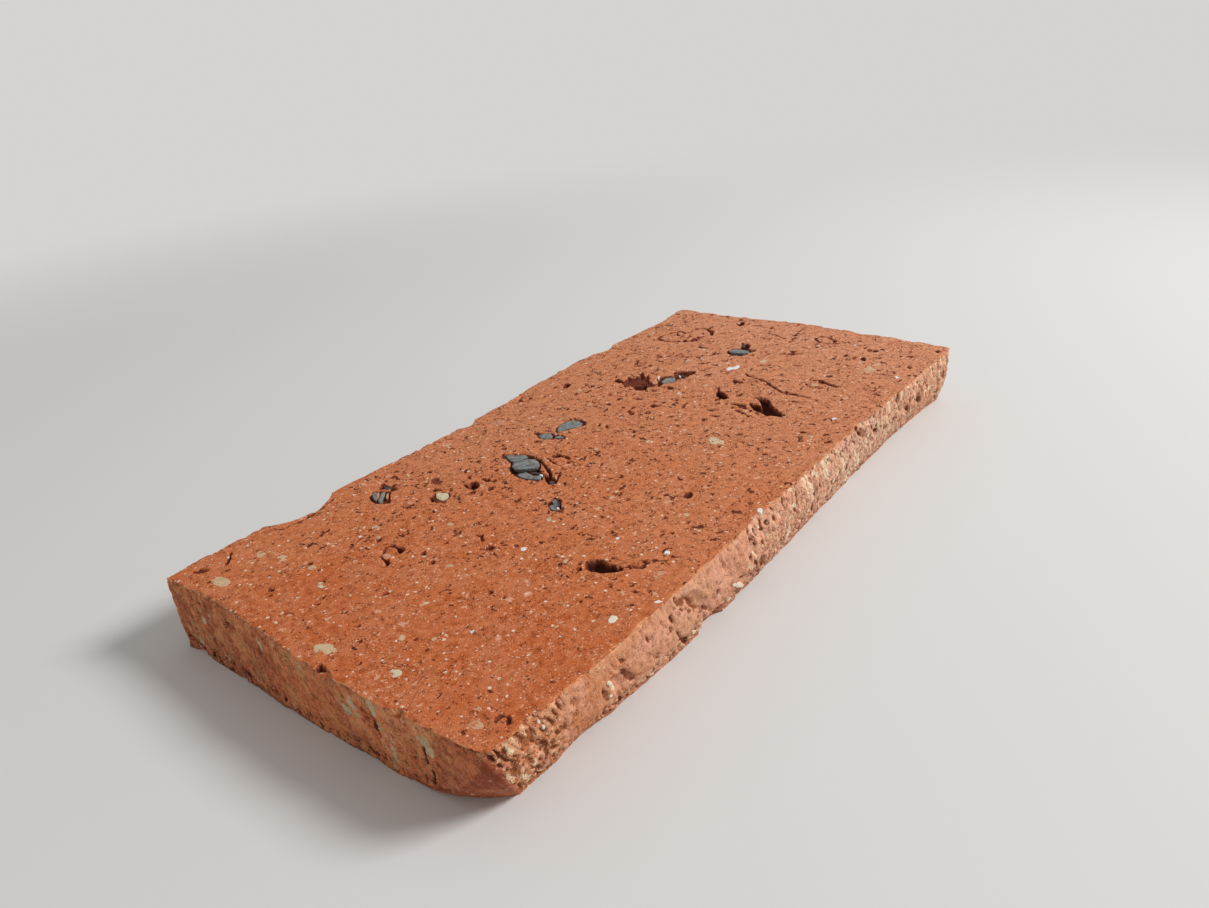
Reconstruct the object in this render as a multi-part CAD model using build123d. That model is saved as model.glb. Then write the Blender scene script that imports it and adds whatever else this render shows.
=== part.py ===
from build123d import *
import math
import os

# A thin floor brick: one slab sawn flat out of an old hand-moulded clay brick.
# The two large faces are saw cuts. The four edge faces are the old brick's own
# weathered faces, so they wander in plan, lean in below and are chipped.
# Millimetres. X runs along the slab from the near end to the far end, Y across
# it, Z up. The origin is under the middle of the slab, on its sawn underside.

# The slab
length = 250.0  # near end to far end, between the lines of the corners
width = 121.0  # right side to left side, between the lines of the corners
thickness = 22.0  # sawn underside to sawn top

# How far each corner stands out from those lines, along X and across, at the top edge
# and at the bottom edge. Below it mostly leans in, which is a minus here.
near_right_top_out, near_right_bottom_out = (0.0, 0.0), (-0.6, -4.4)
far_right_top_out, far_right_bottom_out = (1.3, 0.4), (3.8, -3.6)
far_left_top_out, far_left_bottom_out = (0.0, 0.0), (-1.6, -1.2)
near_left_top_out, near_left_bottom_out = (0.7, 0.4), (0.6, 0.2)
lean_power = 3.0  # a lean grows as this power of the drop, so that it lies mostly below

# How far the edge faces stand out from the straight lines between their corners,
# at even steps from one corner to the next, anticlockwise seen from above.
near_top = (-1.0, 0.3, 1.8, 1.3)
near_bottom = (0.0, 0.8, 0.5, 0.2)
right_top = (0.9, 0.4, -0.3, -0.9, -0.8, -0.4)
right_bottom = (0.9, 2.1, 1.4, 0.0, -1.3, -1.9)
far_top = (2.1, 2.9, 2.9, 0.4)
far_bottom = (0.6, 1.6, 1.4, 0.7)
left_top = (-0.9, 1.3, -0.5, -2.4, -1.4, -0.6)
left_bottom = (-1.4, 0.6, 0.2, -1.6, -1.9, 0.1)

# Half way up they also bulge and dip by turns
waist_wave = 0.4
waist_wave_length = 47.0

# Corner roundings at the top edge and at the bottom edge
near_left_top, near_left_bottom = 1.8, 2.4
near_right_top, near_right_bottom = 3.0, 4.0
far_right_top, far_right_bottom = 2.4, 3.0
far_left_top, far_left_bottom = 4.0, 6.0

# The near right corner has broken away below, from its top point down to the
# underside, in one bulging face. It leaves a ridge that slants down the corner.
break_along_near = 25.0  # reach along the bottom edge of the near end
break_along_right = 10.5  # reach along the bottom edge of the right side
break_radius = 45.0  # curvature of the bulge

# Voids that the saw opened in the top face. They are where folds of clay didn't
# close up, so each is leaf-shaped, with a keel at its bottom. Each row is
# (share of the half length, share of the half width, long, short, depth, turn)
# with the sizes in millimetres and the turn in degrees from +X.
top_voids = [
    (-0.66, 0.24, 6.5, 4.0, 2.8, 70),
    (-0.47, 0.78, 8.5, 3.8, 2.6, 75),
    (-0.36, 0.39, 6.5, 5.2, 3.2, 80),
    (-0.48, -0.61, 14.0, 7.0, 4.6, -72),
    (-0.14, 0.20, 7.6, 5.0, 2.2, 60),
    (0.35, 0.46, 18.0, 11.0, 4.4, 62),
    (0.48, 0.26, 10.0, 5.6, 3.6, -28),
    (0.39, -0.11, 10.0, 4.2, 3.4, 42),
    (0.37, -0.44, 20.0, 7.0, 5.2, 57),
    (0.69, 0.18, 11.0, 8.0, 3.0, -50),
    (0.60, -0.55, 11.5, 3.6, 3.2, 66),
    (0.94, 0.43, 7.6, 4.6, 3.0, 20),
    (-0.94, 0.90, 5.5, 3.0, 1.6, -40),
    (-0.52, 0.71, 9.0, 3.4, 1.2, 60),
    (-0.33, -0.10, 9.5, 3.6, 1.7, 47),
    (-0.24, 0.08, 9.5, 3.6, 2.0, 33),
    (-0.19, 0.22, 15.0, 2.8, 1.8, 61),
    (0.24, 0.81, 5.5, 3.4, 1.3, 30),
    (0.77, 0.19, 8.0, 2.6, 1.3, 25),
    (0.75, 0.56, 7.5, 2.4, 1.3, 33),
    (0.85, 0.60, 8.0, 2.6, 1.8, 82),
]

# Voids in the underside, in the same form
under_voids = [
    (-0.62, 0.30, 10.0, 5.6, 3.0, 30),
    (-0.20, -0.45, 14.0, 7.0, 3.6, -20),
    (0.18, 0.36, 9.0, 4.8, 2.6, 65),
    (0.55, -0.28, 12.0, 5.6, 3.4, 12),
]

# Folds in the upright faces, where the clay that was drawn down the mould didn't
# close up, in the same form. Each row is (share along the face, share of the height,
# long, short, depth, turn) with the turn in degrees up from the way along the face.
near_folds = [
    (0.225, 0.73, 7.0, 3.6, 2.0, 10),
    (0.455, 0.45, 7.5, 2.8, 1.0, 120),
    (0.71, 0.60, 11.0, 2.8, 0.9, 88),
    (0.83, 0.56, 17.0, 2.8, 1.3, 87),
]
right_folds = [
    (0.05, 0.50, 7.5, 3.4, 1.4, -66),
    (0.155, 0.46, 10.0, 4.6, 1.6, -57),
    (0.285, 0.66, 15.0, 5.6, 1.5, -47),
    (0.405, 0.72, 9.5, 3.2, 1.0, -86),
    (0.43, 0.24, 7.5, 3.6, 1.4, -62),
    (0.70, 0.79, 13.0, 3.0, 1.4, -39),
    (0.75, 0.56, 8.0, 3.0, 1.1, -50),
    (0.86, 0.44, 9.0, 3.0, 1.1, -50),
    (0.905, 0.45, 12.0, 3.4, 1.6, -42),
    (0.97, 0.52, 8.0, 3.0, 1.2, -55),
]
far_folds = [
    (0.18, 0.52, 9.0, 3.4, 1.4, 60),
    (0.52, 0.38, 12.0, 4.0, 1.6, -40),
    (0.80, 0.66, 7.0, 3.2, 1.1, 75),
]
left_folds = [
    (0.10, 0.55, 9.0, 3.4, 1.3, -55),
    (0.27, 0.62, 8.0, 3.2, 1.2, 60),
    (0.42, 0.40, 13.0, 4.2, 1.6, -45),
    (0.74, 0.36, 11.0, 3.8, 1.4, 50),
]

# A large void has a smaller one opening out of its side
pocket_size = 0.7  # as a share of the void
pocket_along, pocket_across = 0.2, 0.3  # its place, as shares of the void's sides
pocket_turn = 34.0
pocket_min_long = 9.8  # shorter voids have none

# Chips along the four top edges and the four bottom edges. Each row is
# (share along the edge, length of the chip, how far in it reaches, height)
near_top_chips = [(0.60, 6.0, 2.0, 1.6), (0.81, 4.6, 1.6, 1.5)]
right_top_chips = [(0.04, 7.0, 1.4, 2.4), (0.42, 12.0, 1.2, 5.0), (0.69, 10.0, 1.3, 3.0)]
far_top_chips = [(0.30, 10.0, 1.8, 2.0), (0.72, 7.0, 1.4, 1.6)]
left_top_chips = [(0.22, 12.0, 2.4, 3.0), (0.55, 8.0, 2.2, 2.0), (0.83, 24.0, 5.6, 7.0)]
near_bottom_chips = [(0.05, 5.0, 1.2, 1.6)]
right_bottom_chips = [(0.11, 18.0, 1.1, 1.6), (0.322, 12.0, 2.0, 4.0), (0.385, 5.0, 1.0, 1.4)]
far_bottom_chips = [(0.40, 14.0, 2.2, 3.0)]
left_bottom_chips = [(0.30, 14.0, 2.6, 4.0), (0.66, 18.0, 3.0, 3.4)]


def stand_out(top, bottom, along, drop):
    """How far one step of an edge face stands out, this far along the face."""
    wave = math.sin(2 * math.pi * along / waist_wave_length)
    return top + (bottom - top) * drop + waist_wave * wave * math.sin(math.pi * drop)


def rounded_corner(corner, before, after, radius):
    """The arc round a corner, from the edge before it to the edge after it."""
    start = corner - before * radius
    end = corner + after * radius
    middle = corner + (after - before) * (radius * (1 - math.sqrt(0.5)))
    return ThreePointArc(start, middle, end)


def outline_edges(drop):
    """The four wandering sides and four corner arcs at a drop of 0 (top) to 1 (bottom)."""
    headings = [Vector(0, -1), Vector(1, 0), Vector(0, 1), Vector(-1, 0)]
    places = [
        (-1, -1, near_right_top_out, near_right_bottom_out),
        (1, -1, far_right_top_out, far_right_bottom_out),
        (1, 1, far_left_top_out, far_left_bottom_out),
        (-1, 1, near_left_top_out, near_left_bottom_out),
    ]
    corners = []
    for side_x, side_y, top, bottom in places:
        out_x, out_y = [a + (b - a) * drop**lean_power for a, b in zip(top, bottom)]
        corners.append(Vector(side_x * (length / 2 + out_x), side_y * (width / 2 + out_y)))
    radii = [
        near_right_top + drop * (near_right_bottom - near_right_top),
        far_right_top + drop * (far_right_bottom - far_right_top),
        far_left_top + drop * (far_left_bottom - far_left_top),
        near_left_top + drop * (near_left_bottom - near_left_top),
    ]
    arcs = [
        rounded_corner(corners[i], headings[i], headings[(i + 1) % 4], radii[i])
        for i in range(4)
    ]
    steps = [
        (near_top, near_bottom),
        (right_top, right_bottom),
        (far_top, far_bottom),
        (left_top, left_bottom),
    ]
    sides = []
    for i, (top, bottom) in enumerate(steps):
        start = arcs[i - 1] @ 1
        end = arcs[i] @ 0
        outward = Vector(headings[i].Y, -headings[i].X)
        points = [start]
        for number in range(len(top)):
            run = (end - start) * ((number + 1) / (len(top) + 1))
            out = stand_out(top[number], bottom[number], run.length, drop)
            points.append(start + run + outward * out)
        sides.append(Spline(*points, end))
    return sides, arcs


def outline(drop):
    """The slab's outline as a face, at a drop of 0 (top) to 1 (bottom)."""
    sides, arcs = outline_edges(drop)
    return Pos(0, 0, thickness * (1 - drop)) * make_face(sides + arcs)


def leaf(long, short, depth):
    """A leaf-shaped void in the plane Z = 0, pointed at its ends along X and keeled
    below: the space that two spheres share."""
    keel_radius = (long**2 / 4 + depth**2) / (2 * depth)
    spread = (long**2 - short**2) / (4 * short)
    radius = math.hypot(keel_radius, spread)
    height = keel_radius - depth
    return Pos(0, spread, height) * Sphere(radius) & Pos(0, -spread, height) * Sphere(radius)


def void(row, level, facing):
    """One void in a sawn face that looks up (facing 1) or down (facing -1)."""
    share_x, share_y, long, short, depth, turn = row
    place = Pos(share_x * length / 2, share_y * width / 2, level) * Rot(0, 0, turn)
    if facing < 0:
        place = place * Rot(180, 0, 0)
    hollow = place * leaf(long, short, depth)
    if long >= pocket_min_long:
        pocket = leaf(long * pocket_size, short * pocket_size, depth * pocket_size)
        offset = Pos(long * pocket_along, short * pocket_across, 0)
        hollow += place * offset * Rot(0, 0, pocket_turn) * pocket
    return hollow


def fold(row, number):
    """One fold in an upright face, counted from 0 (near) to 3 (left)."""
    share, rise, long, short, depth, turn = row
    sides, arcs = outline_edges(1 - rise)
    along = sides[number] % share
    outward = along.cross(Vector(0, 0, 1)).normalized()
    mouth = sides[number] @ share + Vector(0, 0, thickness * rise)
    place = Plane(origin=mouth, x_dir=along, z_dir=outward)
    return place * Rot(0, 0, turn) * leaf(long, short, depth)


def chip(share, long, reach, high, edge, level, facing):
    """The sphere that breaks a scallop off an arris, as long along the edge, as far
    into the sawn face and as high up or down the edge face as the row says."""
    on_edge = edge @ share
    outward = (edge % share).cross(Vector(0, 0, 1)).normalized()
    out = (long**2 / 4 - reach**2) / (2 * reach)
    off = (long**2 / 4 - high**2) / (2 * high)
    radius = math.sqrt(long**2 / 4 + out**2 + off**2)
    centre = on_edge + outward * out + Vector(0, 0, level + facing * off)
    return Pos(centre) * Sphere(radius)


def circle_centre(first, second, third):
    """The centre of the circle through three points."""
    to_second, to_third = second - first, third - first
    normal = to_second.cross(to_third)
    across = normal.cross(to_second) * to_third.dot(to_third)
    back = to_third.cross(normal) * to_second.dot(to_second)
    return first + (across + back) * (1 / (2 * normal.dot(normal)))


def broken_corner():
    """The block that has gone from the near right corner, down to a bulging break."""
    lean_x, lean_y = near_right_bottom_out
    bottom_corner = Vector(-length / 2 - lean_x, -width / 2 - lean_y, 0)
    top_point = Vector(-length / 2, -width / 2, thickness)
    near_point = bottom_corner + Vector(0, break_along_near, 0)
    right_point = bottom_corner + Vector(break_along_right, 0, 0)
    corners = [top_point, near_point, right_point]
    inward = (right_point - top_point).cross(near_point - top_point).normalized()
    middle = circle_centre(*corners)
    depth = math.sqrt(break_radius**2 - (top_point - middle).length ** 2)
    side = 2 * break_radius
    block = Plane(origin=middle, z_dir=-inward) * Box(
        side, side, side, align=(Align.CENTER, Align.CENTER, Align.MIN)
    )
    return block - Pos(middle + inward * depth) * Sphere(break_radius)


def clay_brick():
    """The whole slab as one solid."""
    slab = loft([outline(1), outline(0.5), outline(0)])
    cutters = [broken_corner()]
    top_chips = [near_top_chips, right_top_chips, far_top_chips, left_top_chips]
    bottom_chips = [near_bottom_chips, right_bottom_chips, far_bottom_chips, left_bottom_chips]
    sawn_faces = [(0, 1, top_voids, top_chips), (1, -1, under_voids, bottom_chips)]
    for drop, facing, voids, chips in sawn_faces:
        level = thickness * (1 - drop)
        sides, arcs = outline_edges(drop)
        cutters += [void(row, level, facing) for row in voids]
        for side, rows in zip(sides, chips):
            cutters += [chip(*row, side, level, facing) for row in rows]
    for number, rows in enumerate([near_folds, right_folds, far_folds, left_folds]):
        cutters += [fold(row, number) for row in rows]
    for cutter in cutters:
        slab = slab - cutter
    return slab


brick = clay_brick()
box = brick.bounding_box()
centre = box.center()
brick = Pos(-centre.X, -centre.Y, -box.min.Z) * brick

os.makedirs("parts", exist_ok=True)
export_step(brick, "parts/clay_brick.step")
print(brick.is_valid, len(brick.solids()), brick.volume, box.size, centre)
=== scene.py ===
import math
import random
import bmesh
import bpy
import numpy as np
from mathutils import Matrix, Vector
from mathutils.bvhtree import BVHTree


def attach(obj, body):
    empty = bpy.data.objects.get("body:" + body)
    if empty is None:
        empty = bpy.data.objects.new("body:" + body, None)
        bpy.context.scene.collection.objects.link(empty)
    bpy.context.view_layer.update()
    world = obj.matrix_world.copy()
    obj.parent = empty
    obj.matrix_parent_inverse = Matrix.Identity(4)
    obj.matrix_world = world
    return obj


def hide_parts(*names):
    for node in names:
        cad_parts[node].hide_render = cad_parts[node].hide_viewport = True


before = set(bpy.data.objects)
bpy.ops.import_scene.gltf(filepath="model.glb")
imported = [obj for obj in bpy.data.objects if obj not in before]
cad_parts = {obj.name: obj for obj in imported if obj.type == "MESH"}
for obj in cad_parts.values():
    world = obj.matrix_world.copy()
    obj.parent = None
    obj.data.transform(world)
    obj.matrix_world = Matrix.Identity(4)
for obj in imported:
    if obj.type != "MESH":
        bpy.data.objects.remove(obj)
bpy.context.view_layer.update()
print("frame loaded")

mm = 0.001
cornerMiddle = np.array([0.848, 0.167])  # the tables below count from this point, in mm
sawnTop = 22.0  # height of the sawn top face


# Camera, at the angle of the photograph

camera = {
    "place": (-0.21299, -0.17189, 0.15336),
    "up": (0.3952, 0.2142, 0.8933),
    "look": (0.6842, 0.5802, -0.4418),
    "lens": 27.92,
    "sensor": 36.0,
}


def buildCamera():
    data = bpy.data.cameras.new("photoCamera")
    data.lens = camera["lens"]
    data.sensor_fit = "HORIZONTAL"
    data.sensor_width = camera["sensor"]
    data.clip_start = 0.005
    data.clip_end = 200.0
    holder = bpy.data.objects.new("photoCamera", data)
    bpy.context.scene.collection.objects.link(holder)
    look = Vector(camera["look"]).normalized()
    right = look.cross(Vector(camera["up"])).normalized()
    turn = Matrix((right, right.cross(look), -look)).transposed()
    holder.matrix_world = Matrix.Translation(camera["place"]) @ turn.to_4x4()
    bpy.context.scene.camera = holder


buildCamera()


# Noise worked out from whole numbers, so that each run gives the same

def smoothStep(low, high, values):
    share = np.clip((values - low) / (high - low), 0.0, 1.0)
    return share * share * (3.0 - 2.0 * share)


def cellValue(cells, seed):
    mix = cells[:, 0] * 73856093 ^ cells[:, 1] * 19349663 ^ cells[:, 2] * 83492791
    mix = (mix + seed * 374761393) & 0x7FFFFFFF
    mix = ((mix ^ (mix >> 13)) * 1274126177) & 0x7FFFFFFF
    mix = ((mix ^ (mix >> 15)) * 1911520717) & 0x7FFFFFFF
    return ((mix ^ (mix >> 14)) & 0xFFFFFF) / float(0xFFFFFF)


def noise(points, size, seed):
    scaled = points / size
    cells = np.floor(scaled).astype(np.int64)
    part = scaled - cells
    part = part * part * part * (part * (part * 6.0 - 15.0) + 10.0)
    total = np.zeros(len(points))
    for corner in range(8):
        offset = np.array([corner & 1, (corner >> 1) & 1, (corner >> 2) & 1])
        weight = np.prod(np.where(offset, part, 1.0 - part), axis=1)
        total += weight * cellValue(cells + offset, seed)
    return total * 2.0 - 1.0


def cloudNoise(points, size, seed, layers=3):
    total = np.zeros(len(points))
    strength = 1.0
    for layer in range(layers):
        total += strength * noise(points, size, seed + 17 * layer)
        size *= 0.52
        strength *= 0.55
    return total / 1.6


def crumbNoise(points, size, seed):
    # distance to the nearest of a set of scattered points, one to a cell
    scaled = points / size
    cells = np.floor(scaled).astype(np.int64)
    nearest = np.full(len(points), 9.0)
    for dx in (-1, 0, 1):
        for dy in (-1, 0, 1):
            for dz in (-1, 0, 1):
                other = cells + np.array([dx, dy, dz])
                spot = np.stack([cellValue(other, seed + k) for k in range(3)], axis=1)
                gap = other + spot - scaled
                nearest = np.minimum(nearest, np.sum(gap * gap, axis=1))
    return np.sqrt(nearest)


# Distances in the plane of a face, in mm, negative inside a shape

def ellipseGap(points, row):
    x, y, long, short, turn = row[:5]
    angle = math.radians(turn)
    offset = points - np.array([x, y])
    u = offset[:, 0] * math.cos(angle) + offset[:, 1] * math.sin(angle)
    v = offset[:, 1] * math.cos(angle) - offset[:, 0] * math.sin(angle)
    radius = np.hypot(u / (long / 2), v / (short / 2))
    return (radius - 1.0) * min(long, short) / 2


def lineGap(points, line):
    nearest = np.full(len(points), 99.0)
    for start, end in zip(line[:-1], line[1:]):
        start, run = np.array(start, float), np.subtract(end, start).astype(float)
        share = np.clip(((points - start) @ run) / max(run @ run, 1e-9), 0.0, 1.0)
        reach = points - start - share[:, None] * run
        nearest = np.minimum(nearest, np.hypot(reach[:, 0], reach[:, 1]))
    return nearest


def polygonGap(points, corners):
    inside = np.zeros(len(points), bool)
    loop = list(corners) + [corners[0]]
    for (x1, y1), (x2, y2) in zip(loop[:-1], loop[1:]):
        crosses = (y1 > points[:, 1]) != (y2 > points[:, 1])
        rise = y2 - y1 if y2 != y1 else 1e-9
        inside ^= crosses & (points[:, 0] < (x2 - x1) * (points[:, 1] - y1) / rise + x1)
    gap = lineGap(points, loop)
    return np.where(inside, -gap, gap)


def arcLine(x, y, wide, high, turn, start, end, steps=18):
    angle = math.radians(turn)
    line = []
    for step in range(steps + 1):
        around = math.radians(start + (end - start) * step / steps)
        u, v = wide / 2 * math.cos(around), high / 2 * math.sin(around)
        line.append((x + u * math.cos(angle) - v * math.sin(angle),
                     y + u * math.sin(angle) + v * math.cos(angle)))
    return line


# The fired body. Sizes in mm. It starts from the CAD solid's own surface.

body = {
    "voxel": 0.36,
    "quickVoxel": 0.8,
    "mostTriangles": 192000,
    "sawnLoss": 0.05,  # the clay stands this much below the stones that the saw also cut
    "smallPits": 1000,
    "underPits": 260,
}

# Open pits in the top: x, y, long, short, turn, depth
topPits = [
    (-117.8, 54.6, 4.5, 2.5, -40, 1.6), (-121.5, 51.0, 1.8, 1.2, 0, 0.8),
    (-40.2, 22.0, 2.0, 2.9, 0, 2.2), (-43.6, 17.3, 2.9, 2.2, 10, 2.0),
    (-79.8, 7.4, 3.4, 1.5, 58, 1.6), (-83.2, 5.2, 1.3, 1.1, 0, 0.9),
    (-18.0, -36.7, 4.0, 2.6, 25, 1.4), (-17.0, 13.9, 3.0, 3.4, 0, 1.6),
    (-16.2, 10.0, 3.6, 1.3, 80, 1.5), (-18.6, 7.9, 2.0, 1.4, 50, 1.2),
    (42.6, 34.8, 3.0, 3.8, 20, 2.2), (47.4, 33.0, 2.6, 1.3, 40, 1.4),
    (50.0, 28.6, 3.8, 1.5, 40, 1.3), (45.0, 30.4, 3.2, 1.6, 60, 1.4),
    (42.0, 28.2, 2.6, 1.2, 45, 1.5), (39.2, 29.0, 2.0, 1.0, 60, 1.0),
    (46.4, 26.0, 2.4, 1.2, 40, 1.6), (45.9, 13.1, 4.0, 2.5, 60, 1.2),
    (39.4, -19.6, 2.7, 1.2, 45, 1.1), (41.2, -16.0, 1.9, 1.0, 40, 0.9),
    (46.6, -20.0, 2.5, 1.6, 40, 1.1), (44.6, -22.6, 3.6, 1.0, 45, 1.0),
    (42.6, -18.8, 1.5, 0.9, 40, 0.8), (38.4, -21.4, 2.1, 0.8, 40, 0.7),
    (37.4, -24.6, 2.0, 0.8, 20, 0.6), (95.6, -10.0, 3.5, 2.5, 30, 1.2),
    (62.0, -4.8, 4.0, 2.0, 40, 1.2), (111.4, -37.1, 3.0, 2.0, 30, 1.2),
    (101.3, -54.1, 3.0, 1.5, 40, 1.0), (120.5, -57.2, 3.0, 2.0, 20, 1.2),
    (101.9, -36.2, 4.0, 2.0, 35, 1.1), (9.4, 2.8, 2.4, 1.8, 60, 1.5),
    (29.7, 9.2, 3.5, 2.0, 40, 1.2), (30.1, 49.3, 5.0, 3.0, 30, 1.3),
    (-62.0, 23.0, 3.0, 1.0, 60, 0.8), (-81.5, 24.0, 2.4, 1.4, 40, 0.9),
    (-126.0, -9.0, 4.0, 2.2, 70, 1.4), (-12.3, 27.0, 2.6, 1.9, -45, 1.3),
    (-13.4, 5.0, 2.2, 1.2, 30, 1.1), (-39.2, 32.8, 1.8, 1.5, 40, 1.2),
    (92.4, 4.7, 3.2, 1.1, 30, 1.1), (-10.0, 5.8, 1.8, 1.0, 20, 0.9),
    (67.7, 2.2, 2.2, 1.6, 0, 1.0), (89.0, -44.1, 1.6, 1.2, 0, 1.0),
    (-38.8, -8.9, 1.2, 0.9, 0, 0.8), (-11.0, 12.8, 1.3, 1.0, 0, 0.7),
    (-3.0, 13.4, 1.3, 1.0, 0, 0.7), (2.8, 14.7, 1.9, 1.1, 10, 0.8),
    (-7.6, 16.8, 1.8, 1.2, 10, 0.9), (6.8, 0.9, 1.8, 1.5, 0, 0.9),
    (-19.8, 35.0, 1.7, 1.0, 10, 0.8), (-88.0, 28.0, 2.0, 1.3, 30, 0.9),
    (-73.0, 30.0, 1.6, 1.2, 0, 0.9), (-41.6, 28.6, 2.8, 1.0, 60, 1.0),
    (-48.7, 19.8, 1.3, 0.9, 40, 0.8), (-50.6, 27.6, 1.0, 1.9, 0, 0.9),
    (-64.0, -33.8, 1.9, 1.6, 20, 1.0), (-62.0, -32.4, 1.9, 1.2, 0, 0.9),
    (-71.4, -6.8, 1.1, 0.8, 0, 0.6), (-71.4, 0.9, 1.7, 1.0, -60, 0.9),
    (-73.6, -3.2, 1.2, 1.1, 0, 0.8), (-77.0, -9.2, 1.2, 1.1, 0, 0.8),
    (-52.6, -46.6, 2.6, 1.2, 60, 0.8), (-88.6, 12.0, 1.8, 1.7, 0, 1.3),
    (70.4, -29.0, 2.0, 1.3, 40, 1.1), (47.4, -9.8, 2.4, 0.9, 20, 1.1),
    (119.8, 23.0, 2.0, 0.7, 20, 0.7), (59.4, 20.4, 2.4, 1.3, 10, 1.1),
    (57.6, 18.6, 5.0, 1.3, 30, 1.3), (55.0, 15.2, 2.8, 1.1, 50, 1.2),
    (90.6, 36.4, 2.4, 2.0, 40, 1.1), (89.4, 38.4, 2.0, 1.0, 50, 0.8),
    (95.4, 33.2, 3.4, 1.3, 0, 1.1), (95.0, 37.4, 3.6, 1.4, 10, 1.0),
    (101.0, 34.0, 2.4, 1.0, 30, 0.6), (72.4, 32.4, 2.0, 1.1, 20, 0.6),
    (75.0, 29.4, 3.4, 1.5, -20, 0.6), (76.0, 27.6, 1.8, 1.0, 20, 0.8),
    (86.8, 26.6, 2.4, 1.4, 35, 1.0), (82.6, 17.6, 2.8, 1.2, -30, 0.7),
    (103.4, -10.8, 1.7, 1.1, 0, 0.8), (66.8, 11.2, 1.8, 1.2, 0, 0.9),
    (56.0, 11.0, 1.4, 0.9, 0, 0.7), (73.0, 14.4, 2.2, 0.9, 40, 0.6),
]

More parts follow.
